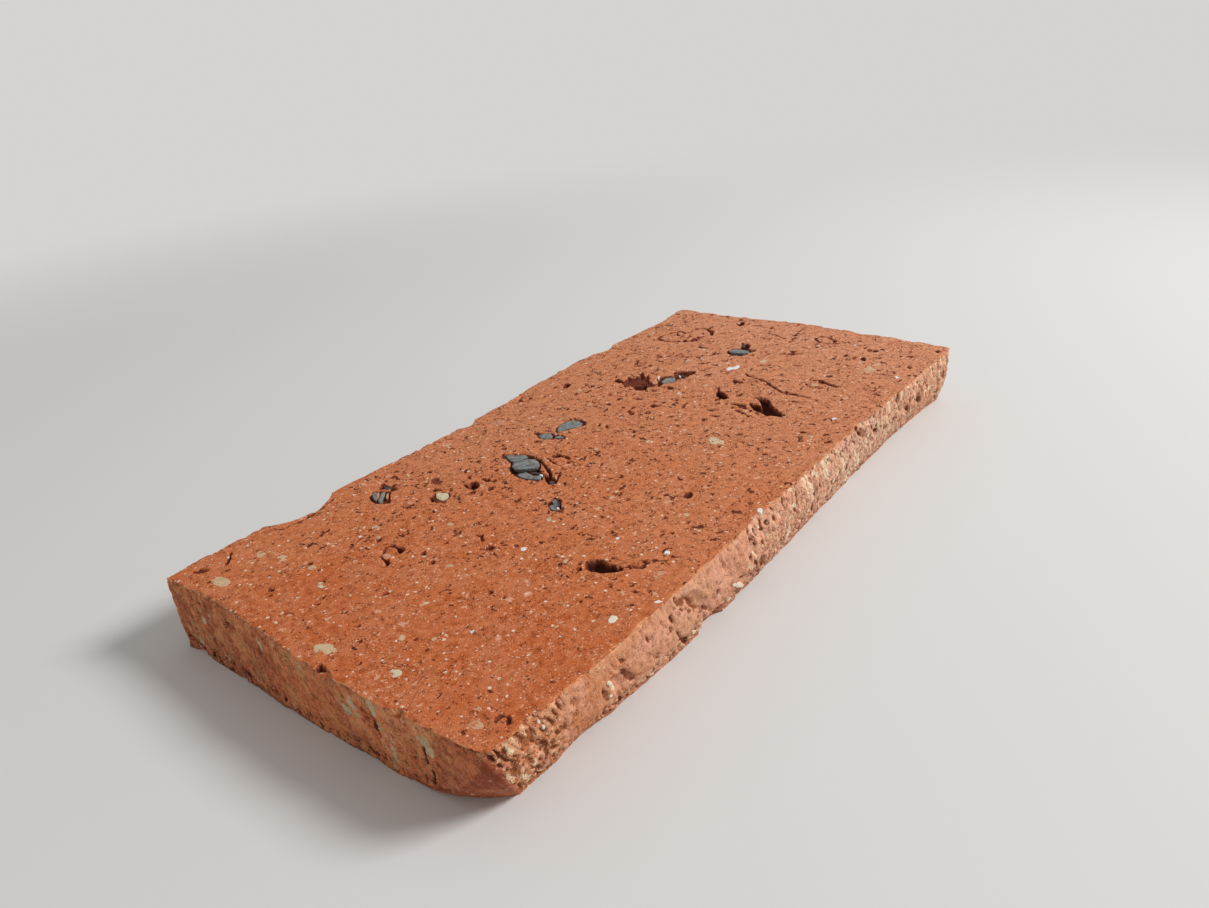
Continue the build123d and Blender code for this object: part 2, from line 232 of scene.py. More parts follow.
# Sockets and voids with a shape of their own: corners, depth, how ragged
topSockets = [
    ([(-26.4, 30.7), (-24.2, 29.5), (-22.4, 26.9), (-20.9, 24.3), (-21.0, 20.9), (-21.2, 18.6),
      (-22.4, 16.6), (-23.9, 14.4), (-25.5, 13.0), (-27.2, 11.8), (-28.6, 9.2), (-29.8, 8.2),
      (-31.9, 6.7), (-32.9, 8.1), (-34.1, 11.2), (-34.5, 12.9), (-34.0, 16.1), (-32.7, 19.5),
      (-30.7, 22.6), (-29.3, 22.7), (-28.0, 23.7), (-27.1, 26.2), (-26.6, 28.5)], 2.0, 0.2),
    ([(-20.8, 21.8), (-21.1, 18.7), (-21.2, 16.4), (-23.5, 12.6), (-25.1, 9.3), (-26.7, 7.4),
      (-28.3, 6.2), (-28.6, 4.1), (-26.1, 5.2), (-25.3, 6.2), (-24.7, 5.4), (-26.8, 3.7),
      (-29.9, 2.3), (-32.0, 1.6), (-33.2, 3.2), (-31.8, 5.5), (-29.8, 8.2), (-28.5, 8.9),
      (-29.0, 6.9), (-27.3, 8.4), (-25.1, 12.0), (-23.2, 15.3), (-22.2, 17.7)], 2.4, 0.25),
    ([(51.0, 22.3), (53.8, 22.9), (55.8, 20.2), (57.0, 18.1), (59.6, 20.6), (61.0, 19.6),
      (62.5, 17.9), (64.0, 13.9), (62.5, 12.5), (58.3, 13.3), (55.6, 13.8), (55.1, 15.7),
      (52.9, 14.9), (49.8, 15.5), (48.0, 17.8), (44.9, 17.1), (45.2, 18.4)], 1.9, 0.3),
    ([(87.8, 14.6), (91.0, 13.1), (92.4, 11.3), (97.5, 13.4), (98.8, 11.7), (97.7, 9.5),
      (93.6, 7.5), (93.5, 4.7), (92.0, 3.7), (89.9, 5.0), (87.6, 4.7), (84.9, 6.3), (83.8, 9.7),
      (85.3, 12.7)], 1.6, 0.4),
    ([(42.4, 36.1), (44.4, 34.8), (43.7, 32.7), (48.0, 32.8), (49.9, 30.4), (51.2, 27.6),
      (51.1, 25.7), (47.2, 22.9), (46.1, 19.8), (44.0, 19.0), (42.4, 20.4), (39.3, 19.9),
      (38.6, 22.1), (39.7, 25.1), (40.7, 27.3), (39.1, 28.0), (40.9, 30.7), (41.4, 32.9)], 1.3, 0.7),
    ([(41.5, 27.5), (44.2, 26.2), (46.5, 23.8), (43.5, 21.2), (39.9, 20.4), (39.1, 22.5),
      (40.0, 25.2)], 3.0, 0.4),
    ([(51.6, -18.2), (53.5, -19.9), (53.2, -22.4), (52.1, -24.3), (50.1, -25.9), (47.2, -29.6),
      (43.3, -35.3), (41.1, -34.4), (41.2, -31.4), (40.4, -29.6), (41.7, -26.5), (42.3, -23.9),
      (45.4, -20.4), (46.8, -19.0), (47.3, -21.9), (47.0, -23.7), (49.7, -22.1), (51.2, -20.0)], 3.2, 0.3),
    ([(44.4, -12.8), (44.7, -14.6), (44.8, -17.0), (45.4, -19.8), (42.3, -21.2), (42.3, -18.1),
      (42.7, -15.5), (43.0, -13.9)], 0.9, 0.7),
    ([(73.3, -27.3), (75.1, -28.1), (76.7, -31.2), (76.0, -33.5), (74.7, -36.1), (74.1, -38.2),
      (73.9, -41.0), (72.6, -40.1), (72.6, -37.1), (73.8, -34.2), (74.9, -31.3), (74.3, -29.3)], 2.4, 0.2),
    ([(49.6, -3.9), (53.7, -3.0), (52.0, -4.6), (51.4, -6.6), (49.4, -9.1), (47.7, -10.4),
      (45.4, -9.9), (46.3, -7.6), (47.6, -5.4)], 2.8, 0.25),
    ([(93.7, 35.7), (96.0, 33.7), (92.5, 31.0), (90.1, 32.1), (91.0, 34.1)], 1.4, 0.4),
    ([(-9.9, 27.6), (-8.6, 29.6), (-7.7, 32.0), (-6.8, 32.6), (-6.2, 31.4), (-6.8, 29.4),
      (-5.2, 28.2), (-4.6, 26.0), (-4.0, 22.6), (-4.8, 20.0), (-6.4, 19.6), (-7.2, 23.6),
      (-9.6, 25.4)], 1.5, 0.2),
    ([(-3.6, 25.4), (-2.4, 26.8), (-0.8, 28.0), (1.6, 28.6), (4.0, 29.2), (6.4, 28.4),
      (8.2, 26.8), (9.1, 24.8), (8.4, 22.4), (6.6, 20.4), (4.6, 20.9), (2.6, 21.8),
      (0.4, 23.4), (-1.8, 24.4)], 1.4, 0.16),
    ([(-63.0, 48.4), (-66.2, 47.2), (-67.8, 43.8), (-68.1, 41.2), (-66.4, 38.6), (-65.4, 38.0),
      (-63.0, 40.8), (-61.2, 43.0), (-61.4, 46.4)], 1.2, 0.16),
    ([(-61.6, 47.8), (-59.2, 50.0), (-58.2, 47.5), (-57.9, 44.4), (-58.6, 42.8), (-60.9, 43.0),
      (-59.6, 45.0)], 1.1, 0.3),
    ([(-44.8, -8.2), (-43.0, -4.9), (-41.4, -3.3), (-39.2, -3.1), (-37.9, -4.6), (-38.2, -6.3),
      (-40.4, -8.0), (-42.2, -9.7), (-43.6, -9.2)], 1.7, 0.14),
    ([(114.6, 24.6), (116.0, 26.4), (117.6, 27.6), (119.4, 27.4), (121.0, 27.2), (120.2, 25.4),
      (119.0, 24.2), (116.6, 23.9)], 2.4, 0.2),
    ([(-63.2, -35.2), (-61.6, -34.0), (-60.2, -32.8), (-59.0, -34.0), (-57.8, -35.2),
      (-57.4, -36.8), (-57.8, -38.8), (-57.6, -41.0), (-57.0, -42.8), (-56.4, -43.6),
      (-58.6, -43.8), (-60.6, -42.6), (-61.6, -41.0), (-63.0, -39.8), (-63.2, -38.0)], 3.4, 0.3),
    ([(-82.2, 18.4), (-80.8, 18.2), (-81.0, 16.4), (-80.2, 14.4), (-81.0, 13.2), (-82.2, 12.8),
      (-83.4, 13.0), (-83.0, 14.6), (-82.0, 16.0)], 2.4, 0.2),
    ([(-70.4, -4.4), (-69.8, -4.0), (-69.0, -4.8), (-68.0, -4.6), (-67.4, -6.6), (-67.8, -7.9),
      (-69.0, -7.6), (-70.0, -6.2)], 1.9, 0.2),
    ([(-54.0, 31.0), (-53.2, 33.2), (-52.2, 33.0), (-51.6, 31.4), (-52.2, 29.4), (-53.0, 30.4)],
     2.2, 0.15),
    ([(-50.4, 36.4), (-48.8, 38.2), (-47.4, 38.8), (-46.8, 37.2), (-47.6, 35.0), (-48.0, 33.2),
      (-49.4, 33.4), (-50.2, 34.6)], 0.5, 0.5),
    ([(-46.4, 26.8), (-45.6, 26.8), (-45.6, 24.6), (-43.6, 26.0), (-42.6, 25.0), (-42.8, 23.0),
      (-44.2, 21.2), (-45.8, 20.9), (-47.0, 21.4), (-47.2, 23.2), (-46.8, 25.2)], 2.8, 0.2),
    ([(-58.0, 28.0), (-56.6, 29.6), (-54.4, 30.8), (-52.6, 29.4), (-51.9, 26.6), (-53.2, 24.6),
      (-56.8, 23.6), (-58.2, 25.4)], 0.7, 0.2),
]

# Cracks: points, width, depth, how broken up
topCracks = [
    ([(88.2, 47.8), (92.0, 48.4), (95.2, 46.7), (97.9, 45.0), (99.2, 44.5), (98.3, 40.5),
      (102.8, 40.2), (106.0, 38.7), (106.6, 35.6), (104.3, 32.1), (101.1, 29.6)], 1.5, 1.3, 0.35),
    ([(87.8, 47.5), (86.5, 44.6), (87.2, 41.2), (88.7, 37.3), (90.1, 34.3), (92.2, 32.7),
      (96.5, 32.6), (99.2, 31.4), (100.7, 30.4)], 1.5, 1.2, 0.35),
    ([(97.7, 44.8), (95.1, 42.6), (93.8, 38.5), (96.0, 36.0)], 1.0, 0.9, 0.5),
    ([(114.9, -10.5), (117.3, -11.1), (117.8, -13.9), (116.2, -17.3), (114.7, -18.9),
      (112.3, -18.5), (111.2, -16.7), (111.6, -13.9), (113.3, -11.5), (114.9, -10.5)], 1.1, 1.1, 0.3),
    ([(112.3, 9.7), (111.5, 5.6), (109.7, 0.8)], 0.8, 0.7, 0.2),
    ([(106.3, 10.0), (106.6, 5.4)], 0.8, 0.6, 0.3),
    ([(67.7, 40.4), (69.1, 35.6), (71.9, 32.7), (73.9, 27.4), (76.7, 23.6), (79.5, 18.8),
      (83.0, 15.5)], 0.9, 0.6, 0.7),
    ([(94.7, -8.8), (96.3, -12.1)], 1.6, 1.1, 0.1),
    ([(118.6, 19.4), (119.1, 16.9)], 1.2, 0.9, 0.1),
    ([(86.3, 26.0), (86.8, 22.6)], 0.9, 0.6, 0.3),
    ([(77.2, 11.4), (77.7, 8.5)], 0.9, 0.6, 0.3),
    ([(85.4, -16.8), (85.7, -18.6)], 1.2, 0.8, 0.1),
    ([(92.6, 26.2), (94.7, 25.1)], 1.2, 0.8, 0.3),
    ([(70.1, -4.2), (68.4, -7.3), (67.4, -12.0), (66.2, -16.0), (62.6, -21.2), (60.3, -24.8),
      (61.1, -28.3), (60.3, -32.6), (60.4, -35.5)], 0.9, 0.9, 0.35),
    ([(64.4, -17.4), (61.4, -22.6), (59.5, -27.6), (60.7, -31.6), (60.7, -34.6)], 0.8, 0.8, 0.45),
    ([(55.5, -33.5), (56.4, -37.2)], 0.8, 0.7, 0.2),
    ([(39.8, -17.7), (38.7, -22.1)], 1.0, 0.9, 0.3),
    ([(29.2, 10.1), (30.6, 7.2)], 1.3, 1.0, 0.2),
    ([(58.5, 36.7), (61.9, 32.2)], 0.9, 0.7, 0.5),
    ([(45.8, 50.0), (46.7, 46.2)], 1.2, 0.8, 0.3),
    ([(62.1, -3.8), (61.7, -7.2)], 1.6, 0.9, 0.3),
    ([(36.0, -9.6), (36.1, -11.6)], 1.4, 1.0, 0.2),
    ([(32.2, -13.1), (32.5, -15.4)], 1.3, 1.0, 0.2),
    ([(31.9, 19.5), (32.5, 17.2)], 1.4, 0.8, 0.4),
    ([(45.4, 15.3), (46.7, 10.9)], 1.0, 0.7, 0.3),
    ([(33.2, -1.1), (35.7, 0.1), (37.3, 0.0)], 1.0, 0.7, 0.6),
    ([(-113.0, 51.0), (-110.4, 53.2), (-108.0, 56.0)], 1.0, 1.0, 0.3),
    ([(-96.0, 58.0), (-92.0, 54.0), (-85.0, 53.0), (-78.0, 54.5), (-73.0, 55.5)], 1.2, 1.1, 0.5),
    ([(-69.6, -9.0), (-70.8, -11.8)], 0.9, 0.7, 0.3),
    ([(-65.6, 1.6), (-65.2, 0.0), (-67.0, -2.2)], 0.8, 0.9, 0.2),
    ([(-65.2, 0.0), (-64.0, 0.4)], 0.8, 0.8, 0.2),
    ([(-56.6, -43.6), (-55.8, -45.4), (-55.0, -47.4)], 1.2, 1.2, 0.2),
    ([(-81.6, 18.6), (-83.0, 18.8), (-85.2, 17.6), (-87.0, 15.4), (-87.6, 13.0), (-88.6, 12.0)],
     1.0, 1.3, 0.2),
    ([(-116.6, -55.0), (-114.6, -54.5), (-114.0, -56.2), (-115.4, -57.6)], 0.9, 1.0, 0.1),
    ([(77.0, 22.4), (79.6, 20.4)], 1.1, 0.8, 0.3),
    ([(-20.0, 15.6), (-21.0, 11.4), (-21.8, 9.0)], 0.7, 0.7, 0.4),
    ([(6.0, 10.6), (8.0, 13.0), (9.4, 14.2)], 0.7, 0.7, 0.5),
    ([(-56.8, 29.4), (-58.0, 27.0), (-57.4, 25.0), (-56.8, 23.8)], 1.1, 1.5, 0.1),
    ([(51.6, -4.4), (55.4, -1.6)], 0.7, 0.8, 0.3),
    ([(69.2, -30.0), (69.0, -32.6), (69.8, -35.2)], 0.8, 0.4, 0.4),
    (arcLine(13.5, 55.0, 5, 4, 0, 20, 300), 0.9, 0.9, 0.3),
]

# Where the CAD solid has its open voids: x, y, reach
openVoids = [
    (-82.5, 14.5, 4.5), (-58.8, 47.2, 5.5), (-45.0, 23.6, 4.5), (-60.0, -36.9, 9.5),
    (-17.5, 12.1, 5.0), (43.8, 27.8, 12.5), (60.0, 15.7, 7.5), (48.8, -6.7, 7.0),
    (46.3, -26.6, 13.5), (86.3, 10.9, 8.5), (75.0, -33.3, 8.5), (117.5, 26.0, 5.0),
    (-117.5, 54.5, 4.2), (-65.0, 43.0, 6.0), (-41.3, -6.1, 6.5), (-30.0, 4.8, 6.5),
    (-23.8, 13.3, 10.0), (30.0, 49.0, 4.2), (96.3, 11.5, 5.5), (93.8, 33.9, 5.2),
    (106.3, 36.3, 5.5),
]

# The break at the near right corner bulges like part of this ball
breakBall = {"middle": (-92.15, -32.07, 30.48), "radius": 45.0}

# Hollows and scratches in the upright faces: place along, height, long, high, turn, depth
sideMarks = {"right": [
    (-123.5, 19.6, 3.2, 2.0, -60, 1.3), (-119.8, 19.5, 2.0, 1.4, -60, 0.9),
    (-113.2, 11.0, 6.4, 2.2, -66, 0.5), (-110.6, 14.6, 2.6, 1.3, -70, 0.8),
    (-104.4, 7.0, 2.2, 1.6, -60, 0.9), (-104.0, 18.6, 2.2, 1.3, -60, 0.8),
    (-98.2, 16.4, 5.0, 2.6, -55, 0.45), (-88.0, 10.6, 7.0, 2.2, -62, 0.8),
    (-81.8, 16.2, 3.6, 2.0, -35, 0.8), (-79.6, 10.4, 12.0, 2.4, -50, 0.6),
    (-72.6, 16.6, 6.0, 0.8, -75, 0.6), (-62.6, 16.0, 3.4, 0.9, -70, 0.8),
    (-58.6, 18.4, 6.4, 2.6, -42, 0.9), (-53.4, 15.2, 12.0, 1.8, -50, 0.9),
    (-53.6, 12.6, 15.0, 1.3, -36, 0.9), (-47.0, 9.0, 8.0, 1.8, -38, 0.9),
    (-63.0, 13.0, 3.6, 1.1, -70, 0.9), (-59.2, 9.0, 7.0, 1.2, -58, 1.0),
    (-55.0, 3.6, 7.0, 2.2, -45, 0.9), (-67.0, 6.6, 1.8, 1.2, 0, 0.9),
    (-24.8, 20.2, 3.2, 1.2, -80, 1.2), (-23.4, 16.0, 6.0, 2.4, -80, 0.6),
    (-23.8, 12.4, 3.4, 2.6, -70, 0.9), (-20.7, 21.6, 2.6, 1.8, -20, 1.0),
    (-16.8, 8.2, 3.0, 1.4, -80, 1.1), (-20.2, 4.2, 4.6, 2.4, -60, 1.0),
    (-17.2, 3.6, 4.0, 1.6, -55, 1.0), (-27.4, 7.4, 4.8, 1.0, -25, 1.0),
    (-14.2, 17.6, 2.4, 1.8, -20, 0.9), (-41.4, 11.0, 2.2, 1.3, -60, 0.9),
    (-37.4, 13.8, 1.8, 1.0, 0, 0.8), (-9.4, 2.6, 2.4, 1.3, -20, 0.9),
    (9.6, 14.8, 2.4, 1.0, -45, 1.0), (18.2, 10.4, 3.0, 1.1, -60, 0.9),
    (19.6, 8.4, 2.4, 1.0, -60, 0.9), (23.2, 1.6, 3.0, 1.8, -45, 1.3),
    (37.0, 21.6, 3.0, 1.2, -40, 1.0), (50.6, 17.6, 11.0, 2.0, -38, 0.5),
    (62.4, 14.0, 3.8, 1.7, -50, 0.9), (61.4, 10.6, 3.4, 1.7, -40, 0.9),
    (77.4, 18.8, 5.6, 1.8, -40, 1.2), (80.6, 14.6, 3.4, 1.0, -45, 0.9),
    (90.0, 11.0, 7.4, 1.8, -46, 0.6), (92.6, 7.2, 4.0, 1.8, -50, 0.9),
    (101.0, 10.2, 9.6, 2.2, -44, 0.6), (90.0, 4.4, 2.6, 1.2, -35, 0.9),
    (108.4, 19.4, 3.2, 1.4, -35, 1.0), (113.8, 18.2, 4.2, 1.5, -42, 1.1),
    (96.2, 17.6, 7.0, 1.0, -38, 0.8), (104.6, 14.4, 6.0, 1.2, -48, 0.8),
    (121.8, 12.4, 4.4, 2.0, -60, 1.0), (119.4, 6.2, 6.0, 1.6, -42, 0.9),
    (121.4, 2.8, 4.0, 1.4, -45, 0.9), (99.0, 2.4, 2.4, 1.4, -30, 0.9),
], "near": [
    (34.6, 17.0, 2.6, 1.6, 20, 1.0), (32.0, 15.8, 3.6, 2.0, -10, 0.9),
    (48.6, 14.4, 2.2, 2.6, 0, 0.8), (46.6, 18.2, 3.0, 1.2, -20, 0.7),
    (-11.2, 22.0, 4.4, 1.8, 0, 1.6), (-36.8, 21.8, 4.0, 1.8, 0, 1.4),
    (-40.6, 11.0, 9.0, 1.5, 93, 0.8), (-41.2, 5.4, 8.0, 1.5, 96, 0.9),
    (-25.9, 14.4, 8.0, 1.8, 92, 0.6), (5.4, 9.8, 3.4, 1.6, 60, 0.7),
    (-2.6, 10.8, 2.8, 1.8, 60, 0.9), (-10.8, 16.4, 1.4, 1.2, 0, 0.8),
    (-10.0, 8.0, 1.4, 1.2, 0, 0.7), (-16.4, 3.2, 3.0, 1.2, 0, 0.7),
    (-20.2, 2.4, 2.2, 1.0, 0, 0.7), (14.0, 21.0, 3.0, 1.0, 20, 0.9),
    (30.0, 18.6, 2.0, 1.0, 50, 0.8), (52.0, 8.2, 3.0, 1.3, 60, 0.6),
    (43.0, 7.6, 3.2, 1.2, 50, 0.6), (26.0, 8.0, 3.4, 1.2, 60, 0.5),
    (-61.0, 11.6, 5.0, 1.4, 12, 1.2), (-52.0, 20.6, 4.0, 1.0, 8, 0.7),
    (-56.4, 21.2, 3.0, 1.4, 0, 1.0),
]}

# Cream mortar left on the upright faces: place along, height, long, high, turn, strength
sideCream = {"right": [
    (-109.8, 19.2, 3.6, 1.3, -70, 1.0), (-122.4, 19.0, 5.0, 2.2, -60, 0.9),
    (-119.4, 12.0, 10.0, 2.4, -62, 0.8), (-113.4, 4.6, 9.0, 3.4, -58, 0.9),
    (-109.0, 3.4, 5.0, 3.0, -40, 0.8), (-101.2, 4.4, 2.8, 2.6, 0, 0.9),
    (-96.0, 10.4, 2.4, 1.0, -50, 0.7), (-86.0, 16.4, 5.0, 0.9, -50, 0.7),
    (-66.4, 6.8, 2.2, 1.6, 0, 0.9), (1.4, 15.4, 4.0, 1.3, -35, 1.0),
    (-0.4, 12.2, 2.0, 1.6, 0, 1.0), (-7.4, 17.2, 3.0, 1.1, -70, 0.7),
    (-10.4, 9.6, 3.6, 1.0, -60, 0.6), (14.0, 7.0, 2.4, 1.6, 0, 0.9),
    (2.0, 5.4, 4.0, 1.8, -40, 1.0), (-4.2, 4.4, 5.0, 1.3, -60, 0.9),
    (16.6, 18.4, 6.0, 1.8, -30, 0.9), (24.6, 14.4, 6.0, 2.4, -50, 0.9),
    (31.0, 9.6, 4.0, 2.2, -60, 1.0), (30.0, 19.4, 12.0, 2.4, -25, 0.8),
    (37.6, 12.6, 18.0, 4.6, -52, 1.0), (44.4, 4.4, 9.0, 4.4, -45, 1.0),
    (50.0, 7.6, 22.0, 5.0, -40, 0.7), (70.0, 9.0, 24.0, 4.0, -36, 0.6),
    (-18.2, 5.2, 4.0, 2.4, -40, 0.8), (-48.4, 4.6, 4.0, 4.0, 0, 0.8),
    (-33.0, 3.4, 6.0, 2.6, -30, 0.6), (-56.0, 7.0, 3.4, 1.4, -50, 0.7),
    (84.0, 14.0, 12.0, 6.0, 60, 0.35), (96.0, 19.0, 8.0, 2.0, -25, 0.5),
], "near": [
    (44.4, 14.4, 6.5, 5.3, -20, 1.0), (18.4, 17.0, 5.0, 1.7, 35, 0.9),
    (50.2, 5.4, 2.8, 7.0, 10, 0.7), (52.0, 1.9, 6.0, 2.0, 25, 0.9),
    (37.9, 5.4, 6.5, 4.0, 30, 0.6), (32.3, 6.1, 3.5, 3.0, 0, 0.6),
    (22.0, 2.5, 3.5, 2.5, 0, 0.7), (0.0, 19.0, 3.5, 4.5, -20, 0.8),
    (-19.4, 16.4, 4.0, 5.3, -20, 1.0), (-16.3, 13.8, 3.0, 3.0, -30, 0.9),
    (-26.8, 19.0, 2.8, 6.5, 0, 0.9), (-27.6, 13.6, 2.3, 7.8, 10, 0.7),
    (-24.4, 5.6, 2.8, 5.3, 0, 0.6), (-38.5, 20.0, 2.5, 4.5, -10, 0.9),
    (-41.4, 15.6, 6.0, 5.5, 10, 1.0), (-42.4, 8.4, 2.3, 7.8, 0, 1.0),
    (-42.0, 3.4, 1.8, 5.3, 0, 0.9), (-29.4, 9.0, 4.4, 17.0, 8, 0.75),
    (53.2, 21.4, 3.0, 1.8, 0, 1.0),
]}


def readMesh(mesh):
    spots = np.empty(len(mesh.vertices) * 3)
    turns = np.empty(len(mesh.vertices) * 3)
    mesh.vertices.foreach_get("co", spots)
    mesh.vertices.foreach_get("normal", turns)
    return spots.reshape(-1, 3) / mm, turns.reshape(-1, 3)


def writeMesh(mesh, points):
    mesh.vertices.foreach_set("co", (points * mm).ravel())
    mesh.update()


def withModifier(piece, kind, **settings):
    # run one modifier on a piece and keep its result as the mesh
    modifier = piece.modifiers.new(kind, kind)
    for name, value in settings.items():
        setattr(modifier, name, value)
    graph = bpy.context.evaluated_depsgraph_get()
    graph.update()
    result = bpy.data.meshes.new_from_object(piece.evaluated_get(graph))
    piece.modifiers.remove(modifier)
    old = piece.data
    piece.data = result
    bpy.data.meshes.remove(old)


def copyNode(node, name):
    shape = bmesh.new()
    shape.from_mesh(node.data)
    bmesh.ops.remove_doubles(shape, verts=shape.verts, dist=0.000002)
    mesh = bpy.data.meshes.new(name)
    shape.to_mesh(mesh)
    shape.free()
    piece = bpy.data.objects.new(name, mesh)
    bpy.context.scene.collection.objects.link(piece)
    return piece


# How far each upright face stands out, in half-millimetre steps along it, at five heights

sides = {
    "near": (0, -1), "far": (0, 1), "right": (1, -1), "left": (1, 1),
}
stepSize = 0.5
reach = 135.0
heights = [0.8, 5.5, 11.0, 16.5, 21.2]


def outerLine(points, axis, sign, height):
    level = abs(points[:, 2] - height) < 0.7
    along = points[level, 1 - axis]
    out = points[level, axis] * sign
    count = int(2 * reach / stepSize)
    line = np.full(count, -999.0)
    np.maximum.at(line, ((along + reach) / stepSize).astype(int), out)
    found = np.nonzero(line > -900)[0]
    return np.interp(np.arange(count), found, line[found])


def sideGaps(points, original):
    # distance inside each upright face, following its lean
    gaps = {}
    level = np.interp(points[:, 2], heights, np.arange(len(heights)))
    lower = np.minimum(level.astype(int), len(heights) - 2)
    share = level - lower
    for name, (axis, sign) in sides.items():
        lines = np.stack([outerLine(original, axis, sign, height) for height in heights])
        at = np.clip((points[:, 1 - axis] + reach) / stepSize, 0, lines.shape[1] - 1).astype(int)
        face = lines[lower, at] * (1.0 - share) + lines[lower + 1, at] * share
        gaps[name] = face - points[:, axis] * sign
    return gaps


def carved(points, gap, depth, steep, seed, rough=0.3):
    # depth of a pit with ragged, steep sides
    ragged = gap + rough * noise(points, 1.1, seed) + 0.5 * rough * noise(points, 0.55, seed + 5)
    bottom = 0.78 + 0.22 * noise(points, 1.4, seed + 9)
    return depth * smoothStep(0.0, steep, -ragged) * bottom


def near(points, x, y, far):
    return np.nonzero((abs(points[:, 0] - x) < far) & (abs(points[:, 1] - y) < far))[0]


def topRelief(points):
    # depth below the saw's plane, for points on the top face, counted from the corner middle
    depth = np.zeros(len(points))
    flat = points[:, :2] + cornerMiddle

    def dig(where, amount):
        depth[where] = np.maximum(depth[where], amount)

    for number, row in enumerate(topPits):
        where = near(flat, row[0], row[1], row[2])
        gap = ellipseGap(flat[where], row) - 0.12
        dig(where, carved(points[where], gap, 1.25 * row[5], 0.4, 100 + number, 0.26))
    for number, (corners, deep, ragged) in enumerate(topSockets):
        middle = np.mean(corners, axis=0)
        where = near(flat, middle[0], middle[1], 24.0)
        gap = polygonGap(flat[where], corners) - 0.12
        dig(where, carved(points[where], gap, 1.15 * deep, 0.3 + 0.2 * deep, 200 + number, ragged))
    for number, (line, width, deep, broken) in enumerate(topCracks):
        middle = np.mean(line, axis=0)
        where = near(flat, middle[0], middle[1], 26.0)
        gap = lineGap(flat[where], line) - width / 2 - 0.15
        gap += broken * (0.1 + 0.6 * noise(points[where], 2.2, 300 + number))
        dig(where, carved(points[where], gap, 1.3 * deep, 0.35, 330 + number, 0.25))
    spread = random.Random(5)
    for number in range(body["smallPits"]):
        x, y = spread.uniform(-125, 125), spread.uniform(-60, 60)
        long = 0.8 + (1.5 if x < 20 else 2.4) * spread.random() ** 3
        short = long * spread.uniform(0.45, 0.9)
        turn = spread.gauss(-52, 35)
        deep = spread.uniform(0.6, 1.1) * short
        if spread.random() > 0.2 + (x + 0.4 * y + 110.0) / 75.0:  # the near right part is denser clay
            continue
        where = near(flat, x, y, long)
        gap = ellipseGap(flat[where], (x, y, long, short, turn))
        dig(where, carved(points[where], gap, deep, 0.3, 400 + number, 0.12))
    return depth


def underRelief(points):
    depth = np.zeros(len(points))
    flat = points[:, :2]
    spread = random.Random(8)
    for number in range(body["underPits"]):
        x, y = spread.uniform(-124, 124), spread.uniform(-58, 58)
        long = 1.0 + 4.0 * spread.random() ** 4
        short = long * spread.uniform(0.45, 0.9)
        where = near(flat, x, y, long)
        gap = ellipseGap(flat[where], (x, y, long, short, spread.uniform(0, 180)))
        amount = carved(points[where], gap, 0.5 * short, 0.4, 900 + number, 0.2)
        depth[where] = np.maximum(depth[where], amount)
    return depth


# The wear of the upright faces. The clay was drawn down them, so its ridges and
# hollows slant. Turns are in degrees up from the way along the face.
wear = {
    "slant": {"right": -62, "left": -62, "near": 72, "far": -70},
    "stretch": 0.27,  # how much longer the hollows are along the slant
    "coralDepth": 0.7,
    "streakDepth": 0.27,
    "scratchDepth": 0.3,
    "dentDepth": 0.35,
    "crumbDepth": 0.2,
    "swell": 0.18,  # broad bulges and dips under all of it
    "dashes": {"right": 0.85, "left": 0.85, "near": 0.35, "far": 0.85},  # share of small pale dashes
    "deepest": 3.5,
}


def slanted(points, name):
    # the points turned and squeezed so that even noise comes out as slanting streaks
    axis = sides[name][0]
    angle = math.radians(wear["slant"][name])
    turned = np.array(points)
    along, height = points[:, 1 - axis], points[:, 2]
    turned[:, 1 - axis] = along * math.sin(angle) - height * math.cos(angle)
    turned[:, 2] = (along * math.cos(angle) + height * math.sin(angle)) * wear["stretch"]
    return turned


def wearZones(points, along, name):
    # shares of coral-like crust, smooth rubbed face and streaks
    height = points[:, 2]
    ragged = height + 1.8 * noise(points, 8.0, 61)
    low = smoothStep(6.5, 2.5, ragged)
    if name == "right":
        coral = smoothStep(-97.0, -105.0, along + 3.0 * noise(points, 5.0, 62))
        facet = (1.0 - coral) * smoothStep(-24.4, -25.6, along)
        coral = np.maximum(coral, 0.55 * smoothStep(96.0, 112.0, along))
    elif name == "near":
        coral = 0.3 * low + 0.35 * smoothStep(30.0, 40.0, along)
        facet = np.full(len(points), 0.55)
    else:
        mood = cloudNoise(points, 42.0, 70 + sides[name][0])
        coral = smoothStep(0.2, 0.5, mood)
        facet = smoothStep(0.05, -0.3, mood)
    facet = facet * (1.0 - low)
    return coral, facet, np.clip(1.0 - coral - facet, 0.0, 1.0), low


